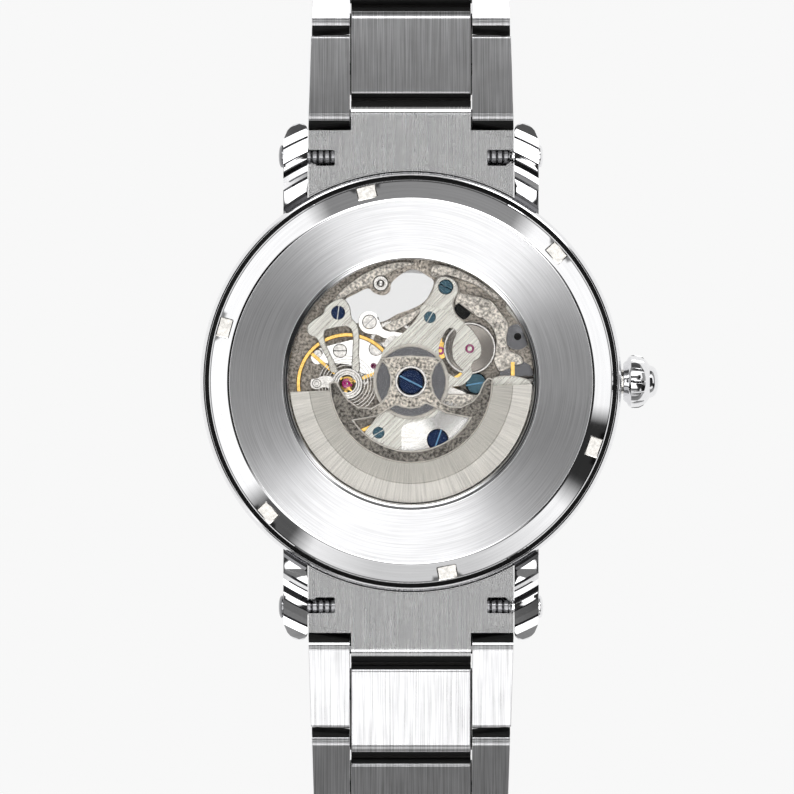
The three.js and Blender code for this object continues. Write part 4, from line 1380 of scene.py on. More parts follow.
@dataclass
class Movement(Maker):
    """The open-worked movement: plates, bridges, train and balance."""

    bench: Bench
    finishes: Finishes
    small: SmallParts
    balance: Point = (-6.2, -0.2)
    barrel: Point = (2.6, -5.65)
    reverser: Point = (5.7, 3.24)

    def build(self, nodes: dict) -> None:
        """Builds the movement from the main plate up.

        Args:
            nodes: the frame's CAD nodes.
        """
        self._main_plate()
        self._train()
        self._lower_bridges()
        self._balance()
        self._balance_bridge()
        self._automatic_bridge()
        self._screws()
        self.dress(nodes, ["movement_holder"], "dark_ring")
        self.dress(nodes, ["pallet_fork", "barrel"], "fine_steel")

    def _main_plate(self) -> None:
        """The pierced main plate with its raised edge, bosses and recesses."""
        bench = self.bench
        plate = bench.turned("mainplate_pierced", [
            (0.62, 3.5), (13.0, 3.5), (13.0, 5.6), (12.3, 5.6), (12.3, 5.0), (0.62, 5.0)], 128)
        window = flowing([(-6.5, 7.9), (-5.3, 8.6), (-4.2, 9.1), (-3.6, 8.65), (-2.7, 8.4),
                          (-2.05, 8.8), (-1.9, 9.6), (-1.04, 10.4), (-0.1, 10.9), (0.8, 10.8),
                          (1.6, 10.3), (2.2, 9.8), (2.0, 8.9), (1.3, 7.8), (0.1, 7.1), (-1.3, 6.6),
                          (-2.6, 5.9), (-4.2, 5.6), (-5.8, 5.9), (-6.0, 7.0)], 3)
        holes = [bench.sawn("window", window, 2, 9)]
        holes.append(bench.rod("hole", (5.0, 6.9, 3.8), "Z", 4, 0.85, 32))
        holes.append(bench.rod("recess", (10.35, 4.35, 4.4), "Z", 3, 1.25, 40))
        holes.append(bench.rod("recess_hole", (10.4, 4.4, 3.7), "Z", 3, 0.36, 24))
        holes.append(bench.sawn("lower_window", arc(11.6, 185, 235, 10) + arc(7.6, 228, 194, 8), 2, 9))
        holes.append(bench.sawn("pocket", flowing([(7.0, 5.2), (8.6, 3.6), (8.6, 1.0), (6.8, -1.8),
                                                   (4.0, -2.0), (2.0, 1.0), (3.0, 6.0)], 4), 4.5, 9))
        holes.append(bench.sawn("keyless_pocket", flowing([(8.9, 1.8), (11.6, 1.6), (11.7, -1.4),
                                                           (9.0, -1.6)], 4), 4.3, 9))
        bench.cut(plate, *holes)
        bench.break_edges(plate, 0.07, 2, 50)
        self.rimmed(plate, "deep_nickel", "painted_edge_highlight", "case", "nickel", "mainplate")
        # Painted shade on the floors of the blind holes.
        self.paint_where(plate, "painted_hollow_shade", lambda c, n: n.z > 0.9 and 3.6 < c.z < 4.2)
        self.paint_where(plate, "shadow_steel",
                         lambda c, n: n.z > 0.9 and 4.25 < c.z < 4.9 and c.x > 8.8)
        raised = [
            ("keyless_cover", [(4.1, 8.7), (6.4, 8.35), (7.8, 7.9), (8.6, 6.9), (9.5, 5.6),
                               (9.3, 4.2), (9.6, 3.0), (10.6, 2.6), (10.9, 1.8), (10.0, 1.5),
                               (8.6, 1.0), (8.0, 2.4), (8.3, 3.9), (7.9, 5.2), (6.9, 6.2),
                               (5.9, 6.7), (4.4, 7.9)], 5.05, 6.6, "mottled_nickel"),
            ("click_plate", [(9.2, 7.2), (9.9, 6.3), (10.7, 5.3), (10.9, 5.7), (10.2, 7.0),
                             (9.5, 7.8)], 5.05, 6.0, "nickel_bridge"),
            ("stem_bridge", [(7.9, 0.3), (9.2, 0.6), (10.9, 0.4), (11.8, -0.3), (11.7, -2.6),
                             (10.2, -3.4), (8.2, -2.2), (7.5, -0.8)], 6.75, 7.0, "nickel_bridge"),
        ]
        for name, points, low, high, finish in raised:
            piece = bench.sawn(name, flowing(points, 4), low, high, 0.09, 2)
            self.rimmed(piece, finish, "painted_edge_highlight", "case", "nickel")
        for name, at, radius in (("plate_boss", (-2.95, 9.56), 0.78), ("edge_boss", (-9.32, 5.06), 0.6)):
            boss = bench.turned(name, [(0, 5.0), (radius, 5.0), (radius, 7.05), (radius - 0.1, 7.15),
                                       (radius * 0.62, 7.15), (radius * 0.58, 6.9),
                                       (radius * 0.5, 6.9), (radius * 0.46, 7.25),
                                       (radius * 0.3, 7.4), (0, 7.42)], 36, closed=False, centre=at)
            self.hand_over(boss, "fine_steel", "case", "nickel")
        rib = bench.sawn("plate_rib", flowing([(-6.6, 8.15), (-5.2, 9.0), (-3.6, 9.6), (-2.4, 10.4),
                                               (-1.2, 11.0), (0.4, 11.5), (-1.6, 11.6),
                                               (-4.2, 10.7), (-6.4, 9.2), (-7.6, 7.9)], 4),
                         5.05, 6.3, 0.1)
        self.rimmed(rib, "mottled_nickel", "painted_edge_highlight", "case", "nickel")
        rest = bench.sawn("corner_rib", flowing([(1.9, 10.6), (2.4, 10.1), (3.6, 10.3), (5.2, 9.8),
                                                 (6.6, 9.2), (8.2, 8.0), (8.6, 8.3), (6.9, 9.6),
                                                 (4.8, 10.8), (2.4, 11.4)], 4), 5.05, 6.9, 0.1)
        self.rimmed(rest, "mottled_nickel", "painted_edge_highlight", "case", "nickel")

    def _wheel(self, name: str, at: Point, radius: float, low: float, high: float, teeth: int,
               spokes: int, hub: list[tuple[float, float, float]], finish: str, body: str,
               slot: str, stands_for: str) -> None:
        """A toothed wheel with spokes, a hub and its arbor.

        Args:
            name: the wheel's name.
            at: its centre.
            radius: its tip radius.
            low: lower face.
            high: upper face.
            teeth: number of teeth.
            spokes: number of spokes.
            hub: (radius, low, high) of the pinion and arbor parts.
            finish: its finish.
            body: the CAD body it rides on.
            slot: the record's material slot.
            stands_for: the CAD node that it replaces.
        """
        bench = self.bench
        wheel = bench.sawn(name, toothed(radius * 0.95, radius, teeth, at), low, high)
        for i in range(spokes):
            a0, a1 = 360 * (i + 0.07) / spokes, 360 * (i + 0.93) / spokes
            inner = max(0.8, radius * 0.25)
            gap = arc(radius * 0.85, a0, a1, 8, at) + arc(inner, a1 - 8, a0 + 8, 4, at)
            bench.cut(wheel, bench.sawn("gap", gap, low - 1, high + 1))
        parts = [bench.rod("arbor", (at[0], at[1], z0), "Z", z1 - z0, r, 20) for r, z0, z1 in hub]
        bench.join(wheel, *parts)
        self.hand_over(wheel, finish, body, slot, stands_for)

    def _train(self) -> None:
        """The going train, the ratchet wheel and the reversing wheel."""
        bench = self.bench
        third, fourth, escape = (2.8, 3.05), (-1.7, 3.6), (-3.7, 1.5)
        self._wheel("centre_wheel_cut", (0, 0), 3.6, 5.15, 5.35, 64, 4,
                    [(0.55, 5.6, 6.95), (0.28, 5.05, 7.6)], "gilt", "centre_wheel", "gilt_brass",
                    "centre_wheel")
        self._wheel("third_wheel_cut", third, 3.45, 7.25, 7.45, 60, 4,
                    [(0.5, 5.12, 5.4), (0.28, 5.05, 7.75)], "gilt", "third_wheel", "gilt_brass",
                    "third_wheel")
        self._wheel("fourth_wheel_cut", fourth, 2.35, 6.2, 6.4, 54, 4,
                    [(0.9, 7.2, 7.5), (0.28, 5.05, 7.75)], "fine_steel", "fourth_wheel",
                    "gilt_brass", "fourth_wheel")
        self._wheel("escape_wheel_cut", escape, 1.2, 5.5, 5.7, 15, 3,
                    [(0.4, 5.6, 6.5), (0.2, 5.05, 6.6)], "fine_steel", "escape_wheel", "steel",
                    "escape_wheel")
        x, y = self.barrel
        ratchet = bench.sawn("ratchet_wheel_sunray", toothed(3.7, 3.9, 56, self.barrel), 7.6, 7.85, 0.03)
        bench.cut(ratchet, bench.turned("rim_groove", [(3.25, 7.8), (3.4, 7.8), (3.4, 8.2),
                                                       (3.25, 8.2)], 64, centre=self.barrel))
        bench.join(ratchet, bench.rod("arbor", (x, y, 5.1), "Z", 2.6, 0.55))
        self.hand_over(ratchet, "ratchet_sunray", "ratchet", "steel", "ratchet_wheel")
        self.small.screw("ratchet_screw_blued", self.barrel, 1.06, 8.2, 70, "blued_steel", "ratchet",
                         "blued_steel", "ratchet_screw", neck=0.34)
        wheel = bench.turned("reversing_wheel_dished", [
            (0.26, 7.5), (2.5, 7.5), (2.54, 7.54), (2.54, 7.8), (2.48, 7.86), (2.36, 7.86),
            (2.28, 7.78), (1.2, 7.72), (0.6, 7.7), (0.26, 7.7)], 96, centre=self.reverser)
        wheel.data.materials.append(self.finishes["dark_wheel"])
        self.paint_where(wheel, "fine_steel", lambda c, n: math.hypot(
            c.x - self.reverser[0], c.y - self.reverser[1]) > 2.3)
        bench.smooth(wheel, 25)
        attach(wheel, "reversing_wheel")
        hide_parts("reversing_wheel")

    def _lower_bridges(self) -> None:
        """The train bridge under the balance and the barrel bridge."""
        bench = self.bench
        bright = bench.sawn("train_bridge_polished", flowing([
            (-9.8, 2.4), (-9.1, 3.2), (-7.6, 3.6), (-5.9, 4.05), (-4.8, 4.35), (-3.0, 3.0),
            (-2.7, 2.3), (-3.1, 1.3), (-3.6, 0.75), (-4.8, 0.8), (-6.0, 1.6), (-8.0, 1.75),
            (-9.3, 1.9)], 5), 6.65, 6.98, 0.07)
        for at, radius in (((-3.4, 3.2), 0.72), ((-9.07, 2.71), 0.5), ((-3.64, 1.53), 0.3)):
            bench.cut(bright, bench.rod("hole", (*at, 6), "Z", 2, radius, 28))
        post = bench.rod("post", (-9.1, 2.3, 5.02), "Z", 1.7, 0.6)
        bench.join(bright, post)
        self.hand_over(bright, "bright_plate", "case", "polished_steel", "train_bridge")
        disc = bench.turned("fourth_disc", [(0, 6.5), (0.72, 6.5), (0.72, 6.7), (0.64, 6.76), (0, 6.76)],
                            32, closed=False, centre=(-3.4, 3.2))
        self.hand_over(disc, "fine_steel", "case", "steel")
        finger = bench.sawn("jumper_finger", flowing([
            (-5.1, 5.7), (-4.9, 6.5), (-4.1, 6.85), (-3.3, 6.5), (-3.0, 5.7), (-2.7, 5.1), (-2.0, 4.85),
            (-0.8, 4.7), (-1.2, 4.35), (-2.4, 4.2), (-3.3, 4.55), (-4.3, 4.7), (-4.9, 5.1)], 5),
            7.0, 7.35, 0.1)
        bench.cut(finger, bench.rod("sink", (-4.04, 5.8, 7.15), "Z", 1, 0.8, 32))
        self.hand_over(finger, "bright_plate", "case", "polished_steel")
        lever = bench.sawn("long_lever", flowing([
            (-2.6, 5.4), (-1.2, 6.1), (0.2, 6.8), (0.9, 7.0), (0.6, 6.4), (-0.6, 5.4), (-1.8, 4.9)], 4),
            6.6, 6.95, 0.09)
        self.rimmed(lever, "mottled_nickel", "painted_edge_highlight", "case", "nickel")
        shape = arc(11.9, 214, 345, 24) + [(8.6, -1.6), (5.6, -1.2), (0.9, -1.2), (-1.6, -4.2),
                                          (-6.6, -5.9)]
        bridge = bench.sawn("barrel_bridge_grained", shape, 7.15, 7.5, 0.08)
        bench.cut(bridge, bench.rod("hole", (*self.barrel, 7), "Z", 1, 0.85, 32))
        self.rimmed(bridge, "mottled_nickel", "painted_edge_highlight", "case", "nickel", "barrel_bridge")
        arm = bench.sawn("upper_arm", flowing([
            (2.4, 9.9), (3.0, 10.3), (4.0, 10.1), (4.55, 9.5), (4.6, 8.6), (4.15, 7.7), (4.4, 6.6),
            (5.3, 5.7), (4.4, 5.0), (2.6, 5.9), (1.2, 7.0), (1.3, 7.7), (1.95, 8.6)], 5),
            7.0, 7.45, 0.14, 3)
        self.rimmed(arm, "nickel_bridge", "painted_edge_highlight", "case", "nickel")
        ledge = bench.sawn("side_ledge", flowing([
            (4.6, 8.7), (5.6, 8.3), (6.9, 8.2), (7.8, 7.5), (7.2, 6.3), (6.3, 6.4), (5.8, 7.4),
            (5.0, 7.8), (4.3, 7.5)], 4), 6.4, 6.9, 0.1)
        self.rimmed(ledge, "mottled_nickel", "painted_edge_highlight", "case", "nickel")

    def _balance(self) -> None:
        """The gilt balance wheel, its staff and the coiled hairspring."""
        bench = self.bench
        rim = bench.turned("balance_wheel_gilt", [
            (4.53, 7.12), (4.95, 7.12), (4.95, 7.38), (4.9, 7.45), (4.6, 7.45), (4.53, 7.38)],
            128, centre=self.balance)
        for angle in (20, 140, 260):
            spoke = bench.sawn("spoke", strip(self.balance, polar(4.7, angle, self.balance), 0.34),
                               7.18, 7.38, 0.04)
            bench.join(rim, spoke)
        staff = bench.turned("staff", [(0, 5.2), (0.2, 5.2), (0.2, 7.0), (0.7, 7.1), (0.7, 7.5),
                                       (0.3, 7.56), (0.14, 7.6), (0.14, 8.0), (0, 8.0)], 28,
                             closed=False, centre=self.balance)
        bench.join(rim, staff)
        self.hand_over(rim, "gilt", "balance", "gilt_brass", "balance_wheel")
        turns, steps = 7, 168
        outer, inner = [], []
        for i in range(steps + 1):
            angle, radius = 360 * turns * i / steps + 30, 0.85 + 2.1 * i / steps
            outer.append(polar(radius + 0.03, angle, self.balance))
            inner.insert(0, polar(radius - 0.03, angle, self.balance))
        spring = bench.sawn("hairspring_coiled", outer + inner, 7.6, 7.8)
        self.hand_over(spring, "fine_steel", "case", "steel", "hairspring")

    def _balance_bridge(self) -> None:
        """The open balance bridge, its shock setting and the regulator."""
        bench = self.bench
        shape = flowing([
            (-6.56, 8.05), (-5.95, 7.3), (-5.75, 6.2), (-5.2, 5.5), (-5.02, 4.6), (-5.05, 2.6),
            (-5.0, 1.0), (-5.75, 1.1), (-5.7, 2.6), (-5.68, 4.6), (-6.2, 5.35), (-7.6, 5.2),
            (-8.35, 4.9), (-8.35, 3.9), (-7.85, 2.7), (-7.3, 1.6), (-7.1, 0.9), (-7.85, 1.0),
            (-8.1, 2.1), (-8.7, 3.2), (-9.2, 4.2), (-9.95, 4.6), (-10.1, 5.4), (-9.5, 6.0),
            (-8.6, 6.6), (-8.3, 7.3), (-7.4, 7.9)], 4)
        bridge = bench.sawn("balance_bridge_open", shape, 7.97, 8.4, 0.12, 3)
        ring = bench.turned("setting", [(0.86, 7.97), (1.55, 7.97), (1.55, 8.36), (1.47, 8.44),
                                        (1.3, 8.44), (1.22, 8.34), (1.06, 8.34), (0.98, 8.42),
                                        (0.86, 8.42)], 56, centre=self.balance)
        post = bench.rod("post", (-7.15, 6.6, 5.05), "Z", 2.95, 1.0)
        bench.join(bridge, ring, post)
        bridge.data.materials.append(self.finishes["nickel_bridge"])
        x, y = self.balance
        self.paint_where(bridge, "fine_steel", lambda c, n: math.hypot(c.x - x, c.y - y) < 1.56)
        bench.smooth(bridge, 28)
        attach(bridge, "case")
        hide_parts("balance_bridge")
        self.small.jewel("shock_jewel", self.balance, 0.5, 8.3, "pink_ruby")
        lyre = bench.sawn("shock_spring", flowing([
            (x - 0.78, y + 0.62), (x - 0.3, y + 0.12), (x + 0.18, y + 0.42), (x + 0.72, y + 0.18),
            (x + 0.3, y - 0.16), (x + 0.62, y - 0.86), (x + 0.06, y - 0.5), (x - 0.3, y - 0.08)], 5),
            8.31, 8.38, 0.02)
        bench.cut(lyre, bench.rod("eye", (x + 0.02, y - 0.02, 8), "Z", 1, 0.36, 20))
        self.hand_over(lyre, "gilt", "case", "steel")
        arm = bench.sawn("regulator_polished", flowing([
            (x - 1.35, y + 0.55), (x - 2.2, y + 0.75), (x - 3.0, y + 0.5), (-9.7, 0.2),
            (-9.75, -0.45), (-9.2, -0.75), (x - 2.2, y - 0.35), (x - 1.4, y - 0.45)], 5), 8.43, 8.52,
            0.03)
        stud = bench.turned("stud", [(0.16, 7.6), (0.46, 7.6), (0.46, 8.5), (0.38, 8.6), (0.22, 8.6),
                                     (0.16, 8.5)], 28, centre=(-9.16, -0.18))
        bench.join(arm, stud)
        self.hand_over(arm, "fine_steel", "case", "steel", "regulator")

    def _automatic_bridge(self) -> None:
        """The automatic bridge with its comma slot, and a painted highlight on its edges in place of their
        polish.
        """
        bench = self.bench
        shape = flowing([
            (1.07, 7.34), (1.88, 7.3), (3.18, 6.93), (4.64, 6.04), (5.78, 5.15), (6.6, 3.95),
            (6.83, 3.04), (6.62, 2.35), (6.05, 1.95), (5.84, 1.41), (5.94, 0.76), (5.54, 0.11),
            (4.8, -0.4), (3.83, -0.62), (3.2, -2.0), (2.2, -3.3), (0.75, -3.8), (-0.5, -4.1),
            (-0.95, -4.7), (-1.05, -6.7), (-2.5, -6.6), (-3.9, -5.8), (-4.45, -4.92), (-3.64, -3.86),
            (-3.0, -2.6), (-3.2, 0.0), (-2.9, 2.45), (-2.2, 3.6), (-0.3, 5.15), (0.7, 6.4)], 4)
        slot = flowing([
            (3.3, 4.8), (2.78, 3.69), (2.7, 2.71), (3.02, 1.57), (3.75, 0.72), (4.48, 0.38),
            (4.95, 0.75), (4.98, 1.15), (4.5, 1.65), (4.07, 2.39), (4.07, 3.69), (4.42, 4.66),
            (4.2, 5.12), (3.75, 5.2)], 4)
        bridge = bench.sawn("automatic_bridge_grained", shape, 7.9, 8.35)
        bench.cut(bridge, bench.sawn("comma", slot, 7, 9))
        bench.break_edges(bridge, 0.13, 3, 50)
        bench.join(bridge, bench.rod("post", (1.4, 6.95, 5.05), "Z", 2.95, 0.55),
                   bench.rod("post", (-3.3, -5.0, 7.52), "Z", 0.45, 0.65))
        self.rimmed(bridge, "nickel_bridge", "painted_edge_highlight", "case", "nickel", "automatic_bridge")

    def _screws(self) -> None:
        """Every screw and jewel that shows."""
        for name, at, radius, top, angle, finish in (
            ("balance_bridge_screw", (-7.08, 6.69), 0.72, 8.45, 82, "blued_steel"),
            ("arm_screw", (3.38, 9.2), 0.74, 7.55, -27, "pale_blued_steel"),
            ("automatic_screw_upper", (1.84, 6.25), 0.6, 8.4, 60, "pale_blued_steel"),
            ("automatic_screw_lower", (-3.15, -4.97), 0.6, 8.4, 30, "pale_blued_steel"),
            ("side_screw", (6.35, -0.2), 1.05, 7.7, 10, "pale_blued_steel"),
            ("finger_screw", (-4.04, 5.8), 0.72, 7.42, 45, "fine_steel"),
            ("train_bridge_screw", (-6.9, 2.99), 0.7, 7.08, 0, "fine_steel"),
            ("train_bridge_pin", (-9.07, 2.71), 0.42, 7.0, 40, "fine_steel"),
        ):
            self.small.screw(name, at, radius, top, angle, finish, "case", "steel")
        for name, at, radius, top, finish in (
            ("reverser_jewel", (5.71, 3.2), 0.45, 8.38, "ruby"),
            ("third_jewel", (2.85, 3.0), 0.4, 7.8, "pink_ruby"),
            ("fourth_jewel", (-1.6, 3.5), 0.36, 8.0, "ruby"),
            ("escape_jewel", (-3.64, 1.53), 0.3, 7.0, "ruby"),
        ):
            self.small.jewel(name, at, radius, top, finish)


@dataclass
class Rotor(Maker):
    """The half-moon rotor, its hub and the big blued screw."""

    bench: Bench
    finishes: Finishes
    small: SmallParts
    chord: float = 1.8

    def build(self) -> None:
        """Builds the weight, the web and the hub."""
        bench = self.bench
        turn = Matrix.Rotation(math.radians(self.chord), 4, "Z")
        weight = bench.turned("rotor_weight", [
            (9.88, 8.56), (11.74, 8.56), (11.8, 8.62), (11.8, 9.16), (11.76, 9.2), (9.92, 9.2),
            (9.88, 9.16)], 256)
        band = bench.turned("rotor_band", [
            (7.9, 8.86), (9.9, 8.86), (9.9, 9.15), (7.94, 9.15), (7.9, 9.11)], 256)
        for ring in (weight, band):
            bench.cut(ring, bench.sawn("upper_half", [(-14, -0.62), (14, -0.62), (14, 14), (-14, 14)],
                                       8, 10))
            bench.place(ring, turn)
            bench.break_edges(ring, 0.03, 2, 60)
        self.hand_over(weight, "rotor_weight", "rotor", "rotor_metal", angle=10)
        self.hand_over(band, "rotor_band", "rotor", "rotor_metal", angle=10)
        crescent = (arc(7.95, 181, 359, 60)
                    + [(8.0, 0.25), (7.5, 0.42), (7.02, -0.1), (6.6, -1.1), (5.95, -1.9),
                       (4.9, -2.42), (3.8, -2.35), (2.9, -1.95), (2.35, -1.3), (2.05, -0.4),
                       (2.02, 0.5), (2.35, 1.45), (3.1, 2.2), (1.6, 2.46), (0, 2.55), (-1.6, 2.46),
                       (-3.1, 2.2), (-2.35, 1.45), (-2.02, 0.5), (-2.05, -0.4), (-2.35, -1.3),
                       (-2.95, -2.05), (-3.9, -2.55), (-5.1, -2.45), (-6.1, -1.75), (-6.75, -0.8),
                       (-7.15, -0.05), (-7.5, 0.05)])
        web = bench.sawn("rotor_anchor", crescent, 8.86, 9.2)
        opening = ([(4.6, -3.35), (3.4, -3.1), (2.3, -2.55), (1.5, -2.15),
                    (0.8, -2.55), (0, -2.68), (-0.8, -2.55), (-1.5, -2.3), (-2.3, -2.8),
                    (-3.3, -3.4), (-4.4, -3.62)]
                   + arc(6.72, 214.5, 328, 30))
        bench.cut(web, bench.sawn("opening", opening, 8, 10))
        bench.break_edges(web, 0.14, 3, 50)
        self.rimmed(web, "rotor_web", "painted_edge_highlight", "rotor", "rotor_metal", "rotor", angle=28)
        collar = bench.turned("rotor_collar", [
            (0.6, 8.5), (1.56, 8.5), (1.56, 9.2), (1.5, 9.24), (1.34, 9.24), (1.28, 9.2), (0.6, 9.2)], 64)
        self.hand_over(collar, "fine_steel", "rotor", "rotor_metal")
        dish = bench.turned("rotor_gear_dish", [
            (0.6, 8.46), (3.6, 8.46), (3.68, 8.5), (3.68, 8.7), (3.62, 8.76), (3.42, 8.76),
            (3.34, 8.62), (0.6, 8.58)], 128)
        dish.data.materials.append(self.finishes["shadow_steel"])
        # Painted highlight on the dish's rim.
        self.paint_where(dish, "painted_edge_highlight", lambda c, n: math.hypot(c.x, c.y) > 3.3)
        bench.smooth(dish, 25)
        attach(dish, "rotor")
        gear = bench.sawn("rotor_gear", toothed(2.95, 3.2, 60, (0, 0)), 8.63, 8.76)
        bench.cut(gear, bench.rod("hollow", (0, 0, 8), "Z", 2, 2.72, 64))
        self.hand_over(gear, "shadow_steel", "rotor", "rotor_metal")
        self.small.screw("rotor_screw_blued", (0, 0), 1.27, 9.4, -27, "blued_steel", "rotor",
                         "blued_steel", "rotor_screw", neck=0.9)


@dataclass
class DialSide(Maker):
    """The skeleton dial and the three hands."""

    bench: Bench
    finishes: Finishes

    def build(self) -> None:
        """Builds the pierced dial with its markers, and the hands."""
        bench = self.bench
        dial = bench.turned("dial_pierced", [(1.25, 3.02), (16.3, 3.02), (16.3, 3.35), (1.25, 3.35)], 128)
        for first, last, inner0, inner1 in ((20, 160, 150, 30), (200, 250, 245, 205), (262, 340, 335, 268)):
            bench.cut(dial, bench.sawn("window", arc(10.6, first, last, 24)
                                       + arc(5.2, inner0, inner1, 16), 2, 5))
        bench.break_edges(dial, 0.05, 2, 50)
        markers = []
        for hour in range(12):
            long = 3.2 if hour % 3 == 0 else 2.4
            mark = bench.sawn("marker", [(15.3 - long, -0.28), (15.3, -0.36), (15.3, 0.36),
                                         (15.3 - long, 0.28)], 2.74, 3.0, 0.08)
            markers.append(bench.place(mark, Matrix.Rotation(math.radians(30 * hour), 4, "Z")))
        self.hand_over(dial, "silvered_dial", "case", "dial_silver", "dial")
        marks = bench.join(markers[0], *markers[1:])
        marks.name = "dial_markers"
        self.hand_over(marks, "polished_steel", "case", "dial_silver")
        hands = (("hour_hand", 8.4, 1.2, 1.1, 0.58, 0.95, 2.5, 2.7, 215, "hour_hand"),
                 ("minute_hand", 13.2, 1.4, 0.9, 0.26, 0.5, 2.15, 2.35, 330, "centre_wheel"),
                 ("seconds_hand", 14.2, 4.0, 0.3, 0.0, 0.19, 1.8, 1.95, 260, "seconds_hand"))
        for name, long, tail, wide, hole, pipe, low, high, angle, body in hands:
            blade = bench.sawn(f"{name}_blued", [
                (-tail, -wide * 0.35), (0, -wide / 2), (long * 0.8, -wide / 2), (long, 0),
                (long * 0.8, wide / 2), (0, wide / 2), (-tail, wide * 0.35)], low, high, 0.05)
            if wide > 0.5:
                bench.cut(blade, bench.sawn("slit", strip((long * 0.25, 0), (long * 0.74, 0),
                                                          wide * 0.45), 1, 4))
            bench.place(blade, Matrix.Rotation(math.radians(angle), 4, "Z"))
            tube = bench.turned("pipe", [(hole, low), (pipe, low), (pipe, 3.42), (hole, 3.42)], 32,
                                closed=hole > 0)
            bench.join(blade, tube)
            self.hand_over(blade, "blued_steel", body, "blued_steel", name)


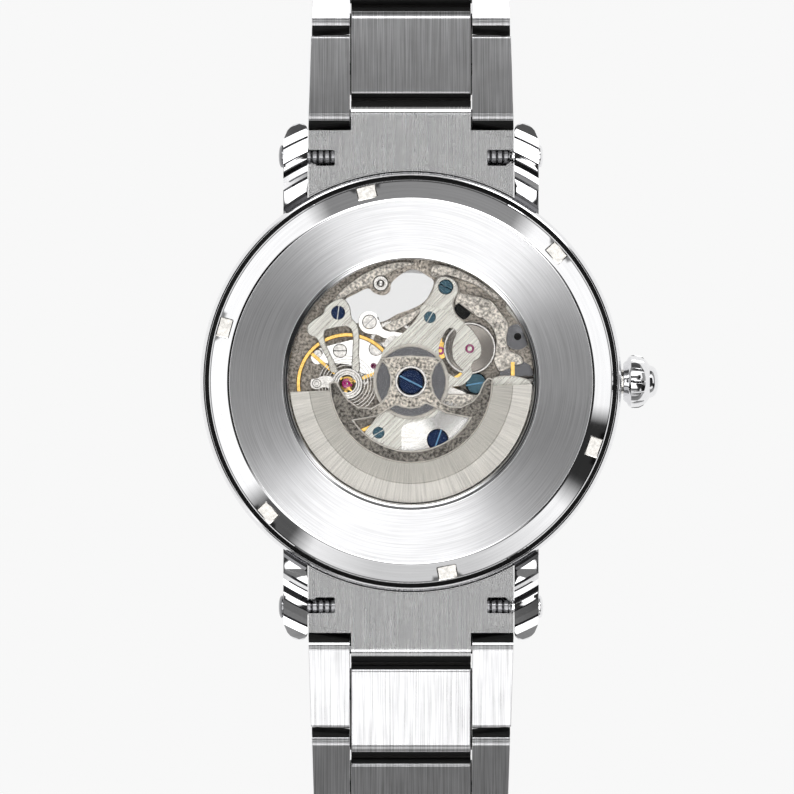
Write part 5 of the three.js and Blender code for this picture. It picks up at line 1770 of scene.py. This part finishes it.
@dataclass
class Studio:
    """The floor, the surrounding light and the camera."""

    wide_mm: float = 77.1
    aim: Point = (-1.36, -1.5)
    distance: float = 1.2

    def build(self) -> None:
        """Sets up the floor, the light and the camera."""
        self._floor()
        self._surroundings()
        self._camera()
        bpy.context.scene.view_settings.view_transform = "Standard"

    @staticmethod
    def _floor() -> None:
        """A plain pale floor just under the watch."""
        bpy.ops.mesh.primitive_plane_add(size=6.0, location=(0, 0, -0.0002))
        floor = bpy.context.object
        floor.name = "floor"
        material = bpy.data.materials.new("pale_floor")
        material.use_nodes = True
        shader = material.node_tree.nodes["Principled BSDF"]
        shader.inputs["Base Color"].default_value = (0.02, 0.02, 0.02, 1)
        shader.inputs["Roughness"].default_value = 1.0
        shader.inputs["Specular IOR Level"].default_value = 0.0
        shader.inputs["Emission Color"].default_value = (1, 1, 1, 1)
        shader.inputs["Emission Strength"].default_value = 0.925
        floor.data.materials.append(material)

    @staticmethod
    def _ramp(tree: bpy.types.NodeTree, value: bpy.types.NodeSocket,
              stops: list[Point]) -> bpy.types.NodeSocket:
        """A grey ramp.

        Args:
            tree: the node tree.
            value: the ramp's position.
            stops: (position, level) pairs.

        Returns:
            The colour socket.
        """
        node = tree.nodes.new("ShaderNodeValToRGB")
        ends = node.color_ramp.elements
        for element, (position, level) in ((ends[0], stops[0]), (ends[1], stops[-1])):
            element.position, element.color = position, (level, level, level, 1)
        for position, level in stops[1:-1]:
            ends.new(position).color = (level, level, level, 1)
        tree.links.new(value, node.inputs["Fac"])
        return node.outputs["Color"]

    @staticmethod
    def _mixed(tree: bpy.types.NodeTree, blend: str, a: bpy.types.NodeSocket, b: bpy.types.NodeSocket,
               share: bpy.types.NodeSocket | None = None) -> bpy.types.NodeSocket:
        """Two colours mixed.

        Args:
            tree: the node tree.
            blend: the blend type.
            a: first colour.
            b: second colour.
            share: how much of the second colour; all of it when None.

        Returns:
            The colour socket.
        """
        node = tree.nodes.new("ShaderNodeMix")
        node.data_type, node.blend_type = "RGBA", blend
        node.inputs[0].default_value = 1.0
        if share is not None:
            tree.links.new(share, node.inputs[0])
        tree.links.new(a, node.inputs[6])
        tree.links.new(b, node.inputs[7])
        return node.outputs[2]

    def _surroundings(self) -> None:
        """A studio dome: a pale zenith, banded cards and flags, and a ring of cards low down."""
        world = bpy.data.worlds.new("studio_dome")
        bpy.context.scene.world = world
        world.use_nodes = True
        tree = world.node_tree
        background = tree.nodes["Background"]
        place = tree.nodes.new("ShaderNodeTexCoord")
        split = tree.nodes.new("ShaderNodeSeparateXYZ")
        tree.links.new(place.outputs["Generated"], split.inputs[0])
        half = tree.nodes.new("ShaderNodeMath")
        half.operation = "MULTIPLY_ADD"
        half.inputs[1].default_value = 0.5
        half.inputs[2].default_value = 0.5
        tree.links.new(split.outputs["Y"], half.inputs[0])
        bands = self._ramp(tree, half.outputs[0], [
            (0.0, 0.8), (0.17, 0.8), (0.185, 0.16), (0.25, 0.16), (0.27, 2.3), (0.36, 2.3),
            (0.40, 2.4), (0.6, 2.4), (0.63, 0.2), (0.72, 0.2), (0.74, 4.0), (0.82, 4.0), (0.84, 0.7),
            (1.0, 0.8)])
        side = tree.nodes.new("ShaderNodeVectorMath")
        side.operation = "DOT_PRODUCT"
        turn = math.radians(170)
        side.inputs[1].default_value = (math.cos(turn), math.sin(turn), 0)
        flat = tree.nodes.new("ShaderNodeVectorMath")
        flat.operation = "MULTIPLY"
        flat.inputs[1].default_value = (1, 1, 0)
        tree.links.new(place.outputs["Generated"], flat.inputs[0])
        heading = tree.nodes.new("ShaderNodeVectorMath")
        heading.operation = "NORMALIZE"
        tree.links.new(flat.outputs["Vector"], heading.inputs[0])
        tree.links.new(heading.outputs["Vector"], side.inputs[0])
        flank = tree.nodes.new("ShaderNodeMath")
        flank.operation = "ABSOLUTE"
        tree.links.new(side.outputs["Value"], flank.inputs[0])
        fade = self._ramp(tree, flank.outputs[0], [(0.0, 1.0), (0.5, 1.0), (0.8, 0.02), (1.0, 0.01)])
        reach = tree.nodes.new("ShaderNodeVectorMath")
        reach.operation = "LENGTH"
        tree.links.new(flat.outputs["Vector"], reach.inputs[0])
        zenith = self._ramp(tree, reach.outputs["Value"], [(0.0, 1.45), (0.08, 1.45), (0.14, 0.0),
                                                           (1.0, 0.0)])
        inner = self._mixed(tree, "LIGHTEN", self._mixed(tree, "MULTIPLY", bands, fade), zenith)
        around = tree.nodes.new("ShaderNodeMath")
        around.operation = "ARCTAN2"
        tree.links.new(split.outputs["Y"], around.inputs[0])
        tree.links.new(split.outputs["X"], around.inputs[1])
        share = tree.nodes.new("ShaderNodeMapRange")
        share.inputs["From Min"].default_value = -math.pi
        share.inputs["From Max"].default_value = math.pi
        tree.links.new(around.outputs[0], share.inputs["Value"])
        cards = self._ramp(tree, share.outputs[0], [
            (0.0, 1.2), (0.09, 1.2), (0.11, 0.1), (0.145, 0.1), (0.165, 1.0), (0.22, 0.68),
            (0.30, 0.68), (0.39, 1.1), (0.415, 0.03), (0.465, 0.03), (0.48, 1.1), (0.64, 1.15),
            (0.66, 0.3), (0.82, 0.26), (0.84, 1.1), (1.0, 1.2)])
        out = tree.nodes.new("ShaderNodeMapRange")
        out.inputs["From Min"].default_value, out.inputs["From Max"].default_value = 0.76, 0.8
        tree.links.new(reach.outputs["Value"], out.inputs["Value"])
        low = self._ramp(tree, reach.outputs["Value"], [(0.0, 1.0), (0.90, 1.0), (0.93, 0.2),
                                                        (1.0, 0.35)])
        ring = self._mixed(tree, "MULTIPLY", cards, low)
        whole = self._mixed(tree, "MIX", inner, ring, out.outputs[0])
        tree.links.new(whole, background.inputs["Color"])
        background.inputs["Strength"].default_value = 1.0

    def _camera(self) -> None:
        """A long lens looking straight down."""
        camera = bpy.data.cameras.new("camera")
        camera.sensor_width = 36.0
        camera.lens = 36.0 * (self.distance - 0.009) / (self.wide_mm * MM)
        camera.clip_end = 10.0
        obj = bpy.data.objects.new("camera", camera)
        obj.location = (self.aim[0] * MM, self.aim[1] * MM, self.distance)
        bpy.context.scene.collection.objects.link(obj)
        bpy.context.scene.camera = obj


def main() -> None:
    """Builds the watch's visible pieces in order."""
    logging.basicConfig(level=logging.INFO, format="%(name)s %(message)s")
    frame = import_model()
    nodes = frame["nodes"]
    bench, finishes = Bench(), Finishes()
    CaseWork(bench, finishes).build(nodes)
    Crown(bench, finishes).build()
    bracelet = Bracelet(bench, finishes)
    end_y, end_z = bracelet.build()
    Clasp(bench, finishes, start=end_y, floor=end_z - bracelet.thick / 2).build()
    small = SmallParts(bench, finishes)
    Movement(bench, finishes, small).build(nodes)
    Rotor(bench, finishes, small).build()
    DialSide(bench, finishes).build()
    Studio().build()


if __name__ == "__main__":
    main()
